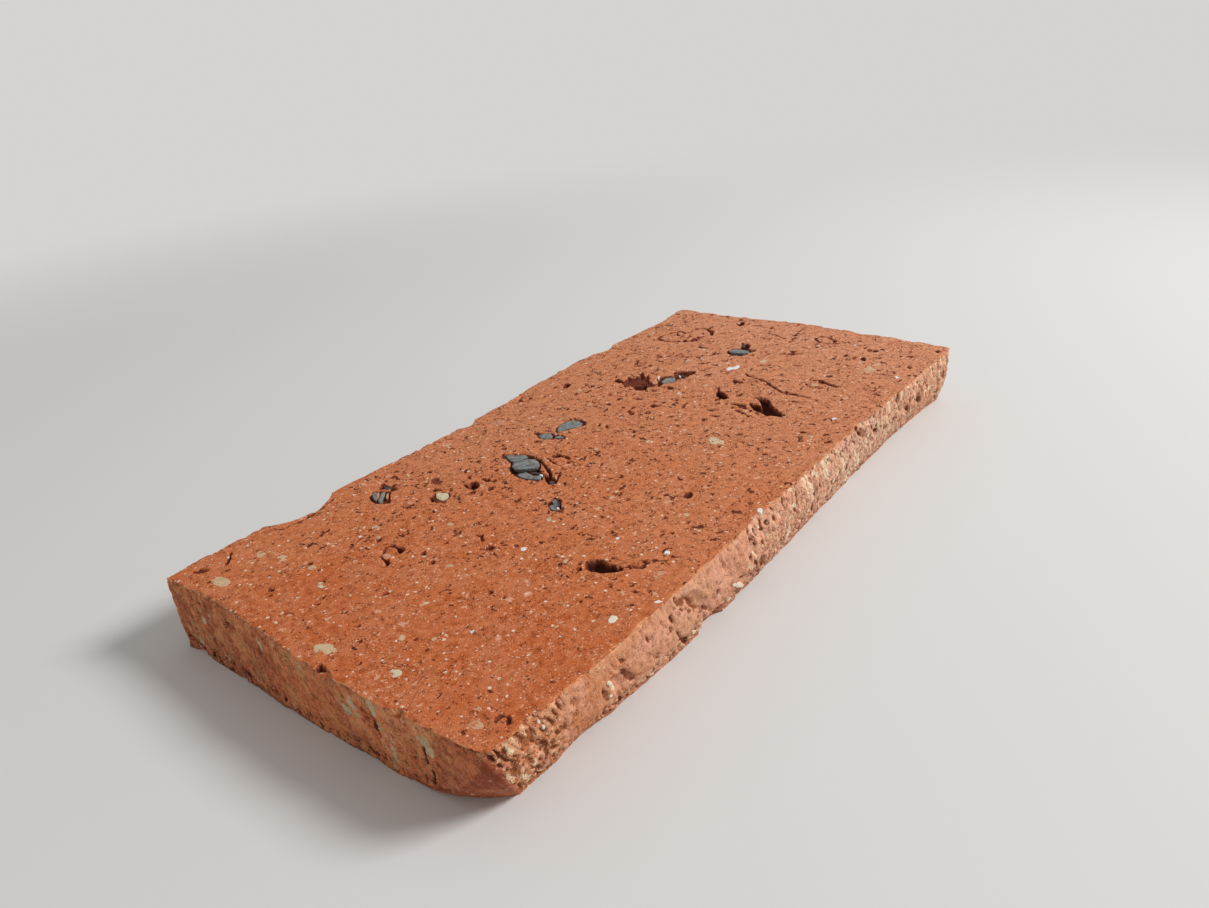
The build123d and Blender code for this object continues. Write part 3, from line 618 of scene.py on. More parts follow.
def sideShape(points, name):
    # one upright face: how far it is worn in, how smooth, how much wear and painted highlight its ridges get,
    # how much mortar lies on it and how much painted shade darkens its hollows
    axis = sides[name][0]
    along = points[:, 1 - axis] + cornerMiddle[1 - axis]
    flat = np.stack([along, points[:, 2]], axis=1)
    coral, facet, streaky, low = wearZones(points, along, name)
    streaks = slanted(points, name)
    broad = noise(streaks, 0.85, 33) + 0.5 * noise(streaks, 0.5, 34)
    narrow = noise(streaks, 0.75, 35) + 0.5 * noise(points, 0.55, 36)
    crumbs = crumbNoise(streaks, 1.0, 40)
    dents = smoothStep(0.25, 0.55, cloudNoise(streaks, 2.6, 44)) * facet
    grit = noise(points, 0.6, 47)
    seams = smoothStep(0.17, 0.02, abs(noise(streaks, 1.3, 38) + 0.35 * noise(points, 0.8, 39)))
    slits = smoothStep(0.50, 0.64, noise(streaks, 0.8, 37))
    cavity = coral * np.maximum(0.75 * seams, smoothStep(0.22, 0.5, broad))
    cavity = np.maximum(cavity, streaky * 0.45 * seams)
    cavity = np.maximum(cavity, streaky * 0.8 * slits)
    cavity = np.maximum(cavity, low * 0.75 * smoothStep(0.5, 0.8, crumbs))
    relief = wear["coralDepth"] * cavity + wear["dentDepth"] * dents
    relief += wear["crumbDepth"] * (coral + streaky + low) * np.clip(crumbs, 0, 1) ** 1.5
    relief += wear["streakDepth"] * streaky * smoothStep(-0.1, 0.7, narrow)
    relief += facet * wear["scratchDepth"] * smoothStep(0.35, 0.65, narrow)
    relief += (0.05 + 0.08 * coral + 0.05 * streaky) * (grit + 1.0)
    # painted shade: hollows, crevices and scratches darkened where shade falls in them
    hollowShade = np.maximum(smoothStep(0.25, 0.8, cavity), 0.5 * facet * smoothStep(0.45, 0.7, narrow))
    hollowShade = np.maximum(hollowShade, 0.4 * dents)
    for number, row in enumerate(sideMarks.get(name, [])):
        where = near(flat, row[0], row[1], row[2])
        gap = ellipseGap(flat[where], row) + 0.3 * noise(streaks[where], 1.0, 480 + number)
        shape = carved(points[where], gap - 0.1, 1.0, 0.45, 500 + number, 0.35)
        relief[where] += row[5] * shape
        # deeper marks get more painted shade
        hollowShade[where] = np.maximum(hollowShade[where], min(1.0, 1.5 * row[5]) * shape)
    cream = np.zeros(len(points))
    broken = smoothStep(-0.15, 0.25, noise(streaks, 1.0, 91) + 0.4 * noise(points, 0.6, 92))
    if name == "near":
        broken = 0.4 + 0.6 * broken  # the smears there are whole
    for number, row in enumerate(sideCream.get(name, [])):
        where = near(flat, row[0], row[1], max(row[2], row[3]))
        gap = ellipseGap(flat[where], row) + 0.7 * noise(streaks[where], 1.1, 600 + number)
        smear = row[5] * smoothStep(0.3, -0.4, gap) * broken[where]
        cream[where] = np.maximum(cream[where], smear)
    drawn = streaks * np.array([1.0, 1.0, 0.5])
    dashes = wear["dashes"][name] * smoothStep(0.44, 0.58, noise(drawn, 0.9, 90))
    cream = np.maximum(cream, dashes * np.clip(streaky + coral, 0.15, 1.0)) * (1.0 - hollowShade)
    # ridges lightened: wear and a painted highlight on the raised parts
    raisedWearAndHighlight = 0.75 * (coral + streaky) * smoothStep(0.0, -0.55, broad) * (1.0 - hollowShade)
    swell = np.maximum(wear["swell"] * cloudNoise(points, 9.0, 50) + 0.08, 0.0)
    return swell + relief, facet, raisedWearAndHighlight, cream, hollowShade


def breakShare(points):
    # 1 on the bulging break at the near right corner, 0 elsewhere
    middle, radius = np.array(breakBall["middle"]), breakBall["radius"]
    off = abs(np.linalg.norm(points - middle, axis=1) - radius)
    beyond = (points[:, 0] < middle[0]) & (points[:, 1] < middle[1])
    return smoothStep(0.9, 0.35, off) * beyond


def buildBody():
    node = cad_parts["clay_brick"]
    piece = copyNode(node, "fired_clay_body")
    voxel = body["voxel"]
    withModifier(piece, "REMESH", mode="VOXEL", voxel_size=voxel * mm)
    points, turns = readMesh(piece.data)
    print("body remeshed:", len(points), "points")
    inset = np.min(np.stack(list(sideGaps(points, points).values())), axis=0)
    upright = smoothStep(0.2, 0.6, 1.0 - abs(turns[:, 2]))
    openTop = np.zeros(len(points), bool)
    for x, y, far in openVoids:
        offset = points[:, :2] + cornerMiddle - np.array([x, y])
        openTop |= (np.hypot(offset[:, 0], offset[:, 1]) < far) & (points[:, 2] > sawnTop - 6.5)
    openTop &= inset > 1.5
    side = upright * smoothStep(8.0, 6.5, inset) * ~openTop
    topFace = (turns[:, 2] > 0.25) & (points[:, 2] > sawnTop - 0.7) & (inset > 0.05)
    topFace |= openTop
    underFace = (turns[:, 2] < -0.25) & (points[:, 2] < 0.7) & (inset > 0.05)
    underVoid = (side < 0.5) & (points[:, 2] > 0.6) & (points[:, 2] < 8.0) & (inset > 2.0)
    original = points.copy()

    # the insides of the open voids underneath are rough
    where = np.nonzero(underVoid)[0]
    spots = original[where]
    push = 0.3 * cloudNoise(spots, 2.6, 11) + 0.22 * noise(spots, 0.9, 12)
    points[where] += turns[where] * push[:, None]

    # the upright faces
    out = turns * np.array([1.0, 1.0, 0.0])
    out /= np.maximum(np.linalg.norm(out, axis=1), 1e-6)[:, None]
    where = np.nonzero(side > 0.01)[0]
    spots = original[where]
    stores = np.zeros((5, len(points)))
    total = np.zeros(len(where))
    for name, (axis, sign) in sides.items():
        share = np.clip(turns[where, axis] * sign, 0.0, 1.0) ** 3
        if name == "right":
            share = np.maximum(share, (turns[where, 1] < -0.3) * 0.5)
        for store, value in zip(stores, sideShape(spots, name)):
            store[where] += share * value
        total += share
    stores[:, where] /= np.maximum(total, 1e-3)
    wornIn, facet, raisedWearAndHighlight, cream, hollowShade = stores
    broken = side * breakShare(original)
    wornIn = np.clip(wornIn, 0.0, wear["deepest"]) * (1.0 - 0.8 * broken)
    wornIn += broken * (0.12 * noise(original, 1.1, 71) + 0.25 * noise(original, 4.0, 72) + 0.3)
    facet, raisedWearAndHighlight, cream, hollowShade = [store * (1.0 - broken) for store in (facet, raisedWearAndHighlight, cream, hollowShade)]
    points -= out * (wornIn * side)[:, None]

    # crumbling along the arrises
    rim = np.zeros(len(points))
    for level in (sawnTop, 0.0):
        away = abs(original[:, 2] - level)
        close = np.nonzero((away < 3.0) & (inset < 3.0) & ~openTop)[0]
        spots = original[close]
        edge = np.hypot(away[close], np.maximum(inset[close], 0.0))
        crumbly = smoothStep(-0.15, 0.5, cloudNoise(spots, 5.0, 22))
        nearEnd = (spots[:, 0] < -120.0) & (level > 0) & (spots[:, 1] > 10.0)
        crumbly = np.maximum(crumbly, 0.9 * nearEnd)
        bite = (0.2 + 0.75 * np.clip(crumbNoise(spots, 1.2, 21), 0, 1) ** 1.5) * crumbly
        bite *= smoothStep(1.5, 0.0, edge) * (1.0 + 0.5 * nearEnd)
        points[close] -= turns[close] * bite[:, None]
        rubbed = smoothStep(1.5, 0.2, edge + 0.9 * noise(spots, 1.6, 23) + 0.5 * noise(spots, 0.6, 24))
        rim[close] = np.maximum(rim[close], rubbed)

    # the sawn faces, with their pits and sockets
    depth = np.zeros(len(points))
    where = np.nonzero(topFace)[0]
    depth[where] = topRelief(original[where])
    level = sawnTop - body["sawnLoss"] - depth[where]
    points[where, 2] = np.where(openTop[where], level, np.minimum(points[where, 2], level))
    points[:, 2] = np.minimum(points[:, 2], sawnTop - body["sawnLoss"])
    where = np.nonzero(underFace)[0]
    depth[where] = underRelief(original[where])
    points[where, 2] = np.maximum(points[where, 2], depth[where])
    points[:, 2] = np.maximum(points[:, 2], 0.0)
    depth[underVoid] = points[underVoid, 2]

    values = {
        "side": side, "facet": facet * side, "cream": cream * side, "ridge": raisedWearAndHighlight * side,
        # hollow: pits and cavities, darkened in the material with painted shade
        "hollow": np.maximum(smoothStep(0.08, 0.42, depth) * (1.0 - side), hollowShade * side),
        "broken": broken, "rim": rim,
    }
    writeMesh(piece.data, points)
    for name, value in values.items():
        layer = piece.data.attributes.new(name, "FLOAT", "POINT")
        layer.data.foreach_set("value", value.astype(np.float32))
    count = sum(len(face.vertices) - 2 for face in piece.data.polygons)
    print("body carved:", count, "triangles")
    if count > body["mostTriangles"]:
        withModifier(piece, "DECIMATE", ratio=body["mostTriangles"] / count)
    points, turns = readMesh(piece.data)
    points[:, 2] = np.clip(points[:, 2], 0.0, sawnTop - body["sawnLoss"])
    writeMesh(piece.data, points)
    shadeBody(piece)
    print("body thinned:", len(piece.data.polygons), "faces")
    return piece


def shadeBody(piece):
    # smooth all over, except the flat sawn faces
    mesh = piece.data
    turns = np.empty(len(mesh.polygons) * 3)
    mesh.polygons.foreach_get("normal", turns)
    flat = abs(turns.reshape(-1, 3)[:, 2]) > 0.9995
    mesh.polygons.foreach_set("use_smooth", ~flat)
    mesh.update()


bodyPiece = buildBody()


# Stones, lumps and grains. The saw cut through them, so their tops are flat and flush.

# Dark slaty stones: outline, height above the saw's plane, turn of the layers
slates = [
    ([(-24.9, 28.9), (-23.7, 27.2), (-22.9, 25.0), (-21.6, 23.6), (-21.9, 21.4), (-23.1, 21.2),
      (-24.5, 22.0), (-26.1, 22.8), (-27.3, 23.2), (-27.1, 24.0), (-26.7, 24.8), (-26.2, 26.5)], -0.05, 128),
    ([(-28.1, 22.5), (-26.6, 22.0), (-24.9, 21.3), (-23.3, 20.6), (-22.1, 18.5), (-23.3, 15.8),
      (-24.7, 14.1), (-26.3, 13.3), (-27.8, 15.5), (-30.0, 18.1), (-30.5, 19.7), (-29.5, 21.8)], 0.0, 128),
    ([(-32.6, 16.6), (-31.3, 15.9), (-30.1, 15.0), (-30.6, 13.8), (-30.9, 11.3), (-29.9, 9.5),
      (-30.4, 8.5), (-31.5, 7.8), (-32.4, 9.3), (-33.1, 11.1), (-33.7, 12.9), (-33.5, 14.8)], -0.14, 125),
    ([(49.6, 19.4), (52.5, 19.7), (54.3, 18.7), (55.4, 17.3), (54.1, 16.1), (51.3, 15.8),
      (49.6, 16.8), (48.8, 18.4)], -0.1, 128),
    ([(88.2, 13.8), (90.3, 12.6), (91.0, 9.9), (91.2, 6.4), (89.7, 5.4), (87.7, 7.5), (87.1, 9.8),
      (86.5, 12.2)], -0.06, 128),
    ([(-9.6, 27.4), (-9.1, 25.8), (-7.8, 24.7), (-6.2, 24.7), (-5.2, 26.2), (-5.6, 27.7),
      (-7.1, 29.0), (-8.4, 29.2)], -0.05, 40),
    ([(-6.9, 23.4), (-6.0, 21.0), (-5.1, 20.6), (-4.6, 22.4), (-5.4, 23.7)], -0.15, 60),
    ([(-3.0, 25.3), (-1.4, 24.7), (0.8, 23.7), (2.8, 22.1), (4.6, 21.4), (6.3, 22.0),
      (7.1, 23.6), (7.4, 25.2), (6.6, 26.7), (5.2, 27.8), (3.4, 28.5), (1.4, 28.2),
      (-0.8, 27.2), (-2.2, 26.2)], -0.04, -30),
    ([(-63.4, 47.7), (-64.9, 47.3), (-66.6, 44.4), (-66.7, 43.2), (-65.9, 43.4), (-64.6, 45.3),
      (-63.2, 46.9)], -0.1, 50),
    ([(-67.0, 41.9), (-66.8, 41.0), (-64.6, 42.1), (-62.2, 44.2), (-61.8, 45.6), (-63.2, 45.0),
      (-65.2, 43.4)], -0.1, 45),
    ([(-44.1, -7.8), (-43.4, -6.2), (-42.6, -5.2), (-41.4, -6.3), (-42.0, -7.6), (-42.8, -8.8)],
     -0.2, 50),
    ([(-39.9, -3.9), (-38.6, -4.6), (-39.4, -5.6), (-41.2, -7.4), (-42.4, -9.0), (-42.9, -8.4),
      (-41.8, -6.8), (-40.6, -5.0)], -0.15, 50),
    ([(66.2, 19.9), (67.7, 20.4), (68.6, 21.8), (67.6, 21.9), (66.6, 21.2)], -0.05, 30),
    ([(-76.0, 8.2), (-74.4, 8.6), (-73.0, 9.7), (-74.0, 10.0), (-75.6, 9.2)], -0.04, 25),
    ([(-13.8, -46.4), (-13.3, -46.2), (-11.9, -49.8), (-12.3, -50.9), (-13.4, -49.4)], -0.04, -60),
]

# Dark iron-brown fragments in the voids: x, y, long, short, turn, height above the plane
ironStones = [
    (-59.2, 46.6, 4.6, 2.4, 75, -0.45), (86.2, 9.6, 4.0, 5.0, 0, -1.3), (96.3, 11.9, 3.6, 2.0, 25, -0.5),
    (-30.6, 4.0, 3.6, 2.2, 60, -0.9), (-26.0, 27.6, 2.0, 4.4, -15, -0.7), (58.2, 15.6, 2.6, 1.2, 55, -0.3),
    (-7.4, 31.0, 1.4, 2.6, -20, -0.8), (-40.0, -6.6, 3.6, 1.1, 45, -0.5), (-28.8, 12.6, 1.4, 3.6, 20, -0.6),
]

# Lumps of paler clay: x, y, long, short, turn, tone from pink 0 to cream 1
clayLumps = [
    (94.3, -42.8, 14.0, 5.0, -10, 0.6), (15.7, -25.3, 8.5, 5.0, 60, 0.85),
    (83.8, -4.4, 5.0, 4.0, 20, 0.8), (-121.0, -3.9, 8.0, 5.0, 107, 0.75),
    (-118.1, 44.9, 8.2, 5.2, 91, 0.7), (-104.1, 47.6, 5.0, 2.9, 69, 0.6),
    (-102.1, 40.0, 5.4, 3.4, 97, 0.75), (-104.4, 19.2, 4.2, 2.9, 80, 1.0),
    (-100.5, 28.6, 3.7, 2.5, 79, 0.65), (-77.4, 29.9, 3.0, 2.2, 74, 0.7),
    (-108.2, -16.2, 3.5, 2.5, 96, 0.7), (-104.6, -23.7, 3.3, 2.5, 88, 0.6),
    (-117.4, -25.2, 4.2, 3.2, 91, 1.0), (-48.8, -10.9, 3.0, 2.5, 20, 0.8),
    (-30.0, -18.6, 2.5, 2.0, 0, 0.6), (-27.9, -42.8, 4.0, 3.0, 30, 0.7),
    (-55.6, -53.2, 4.4, 4.0, 97, 0.2), (-28.5, 51.7, 3.0, 2.5, 0, 0.5),
    (-14.6, -12.5, 2.2, 1.8, 0, 0.7), (5.5, -6.1, 3.0, 2.2, 20, 0.7),
    (53.7, 2.6, 2.5, 2.0, 0, 0.8), (72.0, 21.8, 4.2, 3.4, 20, 0.95),
    (75.6, 18.1, 3.2, 1.8, 60, 0.9), (84.6, 23.0, 2.0, 2.6, 0, 1.0),
    (69.0, 17.4, 2.1, 1.3, 20, 0.8), (28.8, 41.9, 4.0, 2.0, 50, 0.6),
    (41.5, 52.1, 2.5, 2.0, 0, 0.6), (90.4, 53.0, 2.5, 2.0, 0, 0.5),
    (43.0, 7.2, 3.0, 2.0, 0, 0.9), (-65.2, 12.4, 3.1, 2.3, 86, 0.65),
    (-62.8, -28.6, 2.0, 1.7, 0, 0.6), (-85.7, -44.3, 3.0, 2.2, 107, 0.6),
    (-86.0, 15.2, 3.4, 3.0, 60, 0.05), (71.2, -31.9, 2.6, 3.6, 10, 0.35),
    (98.5, 7.5, 2.6, 1.6, 10, 0.2), (84.2, 13.2, 2.2, 1.2, 40, 0.7),
    (-21.0, 14.6, 1.6, 4.0, -20, 0.0), (-64.4, 44.9, 5.2, 0.9, 48, 0.3),
    (-63.2, 42.0, 4.4, 0.8, 45, 0.5), (-7.0, 5.6, 2.0, 1.7, 0, 0.9),
    (-13.0, 23.0, 1.9, 1.6, 0, 0.8), (-44.0, 20.6, 1.8, 1.3, 0, 0.7),
    (-7.3, 48.9, 5.0, 4.2, 0, 0.0), (-115.4, -49.6, 5.0, 3.2, -30, 0.3),
    (-119.4, -52.3, 4.2, 3.2, 91, 0.4), (-80.4, -3.6, 3.2, 1.6, 116, 0.5),
    (20.0, 30.0, 2.0, 1.5, 30, 0.6), (62.0, 44.0, 2.2, 1.6, 10, 0.5),
    (33.0, -50.0, 2.4, 1.8, 20, 0.6), (110.0, 48.0, 2.0, 1.6, 0, 0.5),
    (112.0, 20.0, 2.4, 1.4, 40, 0.4), (-34.0, 40.0, 2.2, 1.6, 20, 0.6),
]

# One larger cream stone with corners of its own
creamStone = [(-56.6, 25.6), (-56.3, 27.4), (-55.4, 28.9), (-54.2, 30.1), (-53.3, 29.4),
              (-52.9, 28.0), (-52.4, 26.6), (-53.5, 25.2), (-55.2, 24.8)]

# A white stone that the saw split in two, with corners of its own
whiteStone = [(70.9, 4.4), (73.1, 4.5), (73.0, 3.0), (74.5, 2.6), (76.3, 2.2), (75.3, 1.0),
              (73.7, 0.4), (71.7, 1.0), (71.1, 2.2), (69.4, 2.8), (69.5, 3.5)]

# White quartz: x, y, long, short, turn, height above the plane
quartz = [
    (-64.1, -15.0, 2.6, 2.2, 20, 0.02),
    (-75.0, -18.2, 1.6, 1.3, 0, 0.0), (-76.3, -54.4, 3.4, 2.6, 20, 0.03),
    (-82.2, -48.0, 1.8, 1.5, 0, 0.0), (-87.5, -48.0, 1.6, 1.3, 0, 0.0),
    (-46.2, -49.2, 2.7, 1.8, 30, 0.02), (-15.4, -58.7, 3.0, 2.0, 20, 0.02),
    (-47.1, -33.5, 1.5, 1.2, 0, 0.0), (-22.2, 44.5, 1.6, 1.3, 0, 0.0),
    (48.3, -50.4, 2.6, 1.9, 0, 0.02), (90.4, -54.1, 2.6, 1.8, 20, 0.02),
    (117.9, -42.8, 2.6, 1.9, 0, 0.0), (114.0, -27.5, 1.6, 1.2, 0, 0.0),
    (9.2, 10.2, 1.7, 1.5, 0, 0.0), (-97.5, -29.3, 1.8, 1.5, 0, 0.0),
    (-83.3, 30.1, 1.5, 1.3, 0, 0.0), (-77.5, 30.6, 2.0, 1.6, 0, 0.0),
    (-17.8, 11.6, 1.5, 1.3, 0, -0.3), (-18.0, 10.2, 1.7, 1.3, 50, -0.25),
    (-4.1, 25.0, 1.3, 1.2, 0, -0.1), (-39.0, 31.6, 1.2, 1.3, 0, 0.0),
    (52.4, 22.6, 4.4, 0.8, 35, 0.0), (57.2, 16.2, 2.4, 0.7, 55, -0.2),
    (-25.8, 6.4, 1.8, 0.9, 30, -0.2), (-64.9, -59.6, 3.0, 1.2, -30, 0.0),
    (-29.4, 9.4, 1.0, 1.4, 0, -0.1), (-42.6, -8.6, 1.2, 0.9, 50, -0.1),
]

# Stones in the right face: place along it, height, long, short, turn, how far proud
sideStones = [
    (-87.0, 13.4, 3.6, 1.3, -48, 0.25), (-85.6, 11.6, 3.4, 1.6, -62, 0.3),
    (-84.6, 9.4, 2.8, 1.7, -70, 0.2), (-85.8, 8.4, 1.6, 1.2, -40, 0.1),
    (-32.6, 8.0, 3.2, 1.2, -30, 0.15), (-30.2, 6.6, 4.4, 1.9, -38, 0.25),
    (-27.6, 4.6, 3.4, 1.4, -42, 0.15), (-109.8, 19.4, 2.6, 1.0, -66, 0.1),
    (-109.0, 17.6, 1.8, 0.9, -75, 0.1), (-0.4, 12.2, 1.5, 1.1, 0, 0.1),
    (1.4, 15.2, 2.4, 0.9, -35, 0.1), (14.0, 7.0, 1.7, 1.2, 0, 0.1),
    (31.2, 9.4, 1.6, 2.4, 15, 0.1), (-13.4, 17.2, 1.8, 0.8, -60, 0.1),
]


# How deep each kind goes into the clay, how far its top is sunk or domed, and
# how far apart the points of its outline are
stoneShape = {
    "spacing": 0.3,
    "slateDeep": 2.6,
    "lumpDeep": 1.6, "lumpSunk": 0.022,
    "creamDeep": 2.0, "creamSunk": 0.1,
    "quartzDeep": 1.4, "quartzSunk": 0.03,
    "whiteDeep": 1.8,
    "sideDeep": 1.6, "sideDome": 0.12,
    "ironDeep": 2.0, "ironDome": 0.2,
    "rings": [1.0, 1.0, 1.0, 0.95, 0.85, 0.4, 0.15],  # how near a lump's rings are to its rim
}


def outlineOf(row, seed):
    # a stone's outline in the plane: an ellipse with a few blunt corners
    x, y, long, short, turn = row[:5]
    pick = random.Random(seed)
    angle = math.radians(turn)
    count = pick.randint(7, 10)
    corners = []
    for step in range(count):
        around = 2 * math.pi * (step + pick.uniform(-0.28, 0.28)) / count
        reachOut = pick.uniform(0.76, 1.1)
        u = long / 2 * math.cos(around) * reachOut
        v = short / 2 * math.sin(around) * reachOut
        corners.append((x + u * math.cos(angle) - v * math.sin(angle),
                        y + u * math.sin(angle) + v * math.cos(angle)))
    return corners


def roundedOutline(corners, spacing, seed):
    # even steps round a polygon, with its corners blunted and its sides made uneven
    loop = np.array(corners, float)
    for cut in range(2):
        ahead = np.roll(loop, -1, axis=0)
        loop = np.stack([0.8 * loop + 0.2 * ahead, 0.2 * loop + 0.8 * ahead], axis=1).reshape(-1, 2)
    closed = np.vstack([loop, loop[:1]])
    runs = np.hypot(*np.diff(closed, axis=0).T)
    along = np.concatenate([[0.0], np.cumsum(runs)])
    count = max(16, int(along[-1] / spacing))
    places = np.linspace(0.0, along[-1], count, endpoint=False)
    even = np.stack([np.interp(places, along, closed[:, k]) for k in (0, 1)], axis=1)
    spots = np.column_stack([even, np.zeros(count)])
    middle = even.mean(axis=0)
    away = even - middle
    away /= np.maximum(np.linalg.norm(away, axis=1), 1e-6)[:, None]
    return even + away * (0.09 * noise(spots, 0.7, seed))[:, None]


def addStone(shape, corners, level, deep, seed, place=None, dome=0.0):
    # one stone: a slightly uneven sawn top, a chipped rim and a body down into the clay
    rim = roundedOutline(corners, stoneShape["spacing"], seed)
    middle = rim.mean(axis=0)
    rings = [(0.72, -deep), (0.96, -deep * 0.45), (1.0, -0.22), (0.985, -0.07), (0.94, 0.0),
             (0.7, 0.0), (0.42, 0.0)]
    loops = []
    for share, drop in rings:
        spots = middle + (rim - middle) * share
        heights = np.full(len(spots), level + drop)
        if drop > -0.1:
            wave = noise(np.column_stack([spots, np.zeros(len(spots))]), 1.3, seed + 3)
            heights += 0.03 * wave + dome * (1.0 - share) - 0.02
        if place is None:
            heights = np.minimum(heights, 0.0)
        loops.append(np.column_stack([spots, heights]))
    peakHeight = level + dome - 0.02
    if place is None:
        peakHeight = min(peakHeight, 0.0)
    top = np.array([[middle[0], middle[1], peakHeight]])
    bottom = np.array([[middle[0], middle[1], level - deep]])
    if place is None:
        def put(rows):
            return (rows - np.array([*cornerMiddle, -sawnTop])) * mm
    else:
        def put(rows):
            centred = rows - np.array([middle[0], middle[1], 0.0])
            return np.array([(place @ Vector(row))[:] for row in centred]) * mm
    verts = [[shape.verts.new(spot) for spot in put(loop)] for loop in loops]
    peak = shape.verts.new(put(top)[0])
    base = shape.verts.new(put(bottom)[0])
    count = len(rim)
    for lower, upper in zip(verts[:-1], verts[1:]):
        for i in range(count):
            k = (i + 1) % count
            shape.faces.new((lower[i], lower[k], upper[k], upper[i]))
    for i in range(count):
        k = (i + 1) % count
        shape.faces.new((verts[-1][i], verts[-1][k], peak))
        shape.faces.new((base, verts[0][k], verts[0][i]))


def finishStones(shape, name):
    bmesh.ops.recalc_face_normals(shape, faces=shape.faces)
    mesh = bpy.data.meshes.new(name)
    shape.to_mesh(mesh)
    shape.free()
    mesh.polygons.foreach_set("use_smooth", np.ones(len(mesh.polygons), bool))
    piece = bpy.data.objects.new(name, mesh)
    bpy.context.scene.collection.objects.link(piece)
    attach(piece, "root")
    return piece


def toneStones(shape, start, tone, rings=()):
    # a stone's tone, and how near each point is to its rim
    layer = shape.verts.layers.float.get("tone") or shape.verts.layers.float.new("tone")
    shape.verts.ensure_lookup_table()
    for vert in shape.verts[start:]:
        vert[layer] = tone
    if rings:
        edge = shape.verts.layers.float.get("edge") or shape.verts.layers.float.new("edge")
        around = (len(shape.verts) - start - 2) // len(rings)
        for number, nearness in enumerate(rings):
            for vert in shape.verts[start + number * around:start + (number + 1) * around]:
                vert[edge] = nearness


def buildSlates():
    shape = bmesh.new()
    shape.verts.layers.float.new("tone")
    for seed, (corners, level, turn) in enumerate(slates):
        start = len(shape.verts)
        addStone(shape, corners, level, stoneShape["slateDeep"], 700 + seed)
        toneStones(shape, start, (turn % 180) / 180)
    return finishStones(shape, "slate_stones")


def buildLumps():
    shape = bmesh.new()
    shape.verts.layers.float.new("tone")
    for seed, row in enumerate(clayLumps):
        start = len(shape.verts)
        addStone(shape, outlineOf(row, 40 + seed), -stoneShape["lumpSunk"],
                 stoneShape["lumpDeep"], 740 + seed)
        toneStones(shape, start, row[5], stoneShape["rings"])
    start = len(shape.verts)
    addStone(shape, creamStone, -stoneShape["creamSunk"], stoneShape["creamDeep"], 790)
    toneStones(shape, start, 1.0)
    return finishStones(shape, "pale_clay_lumps")


def facePlace(row, tree):
    # where a stone sits in the right face: its middle, and axes along, up and out of the face
    x = row[0] - cornerMiddle[0]
    hit = tree.ray_cast(Vector((x * mm, -0.09, row[1] * mm)), Vector((0, 1, 0)))[0]
    out = Vector((0.0, -1.0, -0.1)).normalized()
    alongFace = Vector((1, 0, 0))
    up = out.cross(alongFace)
    spot = Vector(hit) / mm + out * row[5]
    axes = Matrix((alongFace, up, out)).transposed().to_4x4()
    return Matrix.Translation(spot) @ axes


def buildQuartz(clay):
    shape = bmesh.new()
    shape.verts.layers.float.new("tone")
    for seed, row in enumerate(quartz):
        start = len(shape.verts)
        addStone(shape, outlineOf(row, 140 + seed), row[5] - stoneShape["quartzSunk"],
                 stoneShape["quartzDeep"], 800 + seed)
        toneStones(shape, start, random.Random(seed).random())
    start = len(shape.verts)
    addStone(shape, whiteStone, 0.0, stoneShape["whiteDeep"], 799)
    toneStones(shape, start, 0.4)
    tree = BVHTree.FromPolygons([vert.co for vert in clay.data.vertices],
                                [tuple(face.vertices) for face in clay.data.polygons])
    for seed, row in enumerate(sideStones):
        start = len(shape.verts)
        addStone(shape, outlineOf((0, 0, *row[2:5]), 190 + seed), 0.0, stoneShape["sideDeep"], 850 + seed,
                 facePlace(row, tree), dome=stoneShape["sideDome"])
        toneStones(shape, start, 1.0)
    return finishStones(shape, "quartz_grains")


def buildIron():
    shape = bmesh.new()
    for seed, row in enumerate(ironStones):
        addStone(shape, outlineOf(row, 240 + seed), row[5], stoneShape["ironDeep"], 900 + seed,
                 dome=stoneShape["ironDome"])
    return finishStones(shape, "iron_fragments")


slatePiece = buildSlates()
lumpPiece = buildLumps()
quartzPiece = buildQuartz(bodyPiece)
ironPiece = buildIron()
print("stones set")


# Small helpers for shader nodes

def addNode(tree, kind, x, y, **settings):
    node = tree.nodes.new(kind)
    node.location = (x, y)
    for name, value in settings.items():
        setattr(node, name, value)
    return node


def feed(tree, socket, value):
    # give a socket a plain number, a colour or vector, or another node's output
    if isinstance(value, (int, float)):
        socket.default_value = value
    elif isinstance(value, tuple):
        socket.default_value = (*value, 1)[:len(socket.default_value)]
    else:
        tree.links.new(value, socket)


def mathNode(tree, operation, x, y, first, second):
    node = addNode(tree, "ShaderNodeMath", x, y, operation=operation)
    feed(tree, node.inputs[0], first)
    feed(tree, node.inputs[1], second)
    return node.outputs[0]


def vectorNode(tree, operation, x, y, first, second=None, scale=None):
    node = addNode(tree, "ShaderNodeVectorMath", x, y, operation=operation)
    feed(tree, node.inputs[0], first)
    if second is not None:
        feed(tree, node.inputs[1], second)
    if scale is not None:
        feed(tree, node.inputs["Scale"], scale)
    return node.outputs["Value" if operation == "LENGTH" else "Vector"]


def mapRange(tree, x, y, value, low, high, outLow=0.0, outHigh=1.0, smooth=True):
    node = addNode(tree, "ShaderNodeMapRange", x, y)
    node.interpolation_type = "SMOOTHSTEP" if smooth else "LINEAR"
    for name, amount in (("Value", value), ("From Min", low), ("From Max", high),
                         ("To Min", outLow), ("To Max", outHigh)):
        feed(tree, node.inputs[name], amount)
    return node.outputs["Result"]


# Floor, world and lamps

studio = {
    "floorColour": (0.66, 0.655, 0.645),
    "backdropColour": (0.665, 0.655, 0.64),
    "backdropFrom": 0.3,
    "backdropTo": 0.75,
    "worldColour": (1.0, 0.975, 0.95),
    "worldStrength": 0.45,
    "keyFrom": (0.46, -0.64, 0.62),
    "keyDistance": 1.7,
    "keySize": 0.6,
    "keyPower": 26.0,
    "floorHalf": 45.0,
}


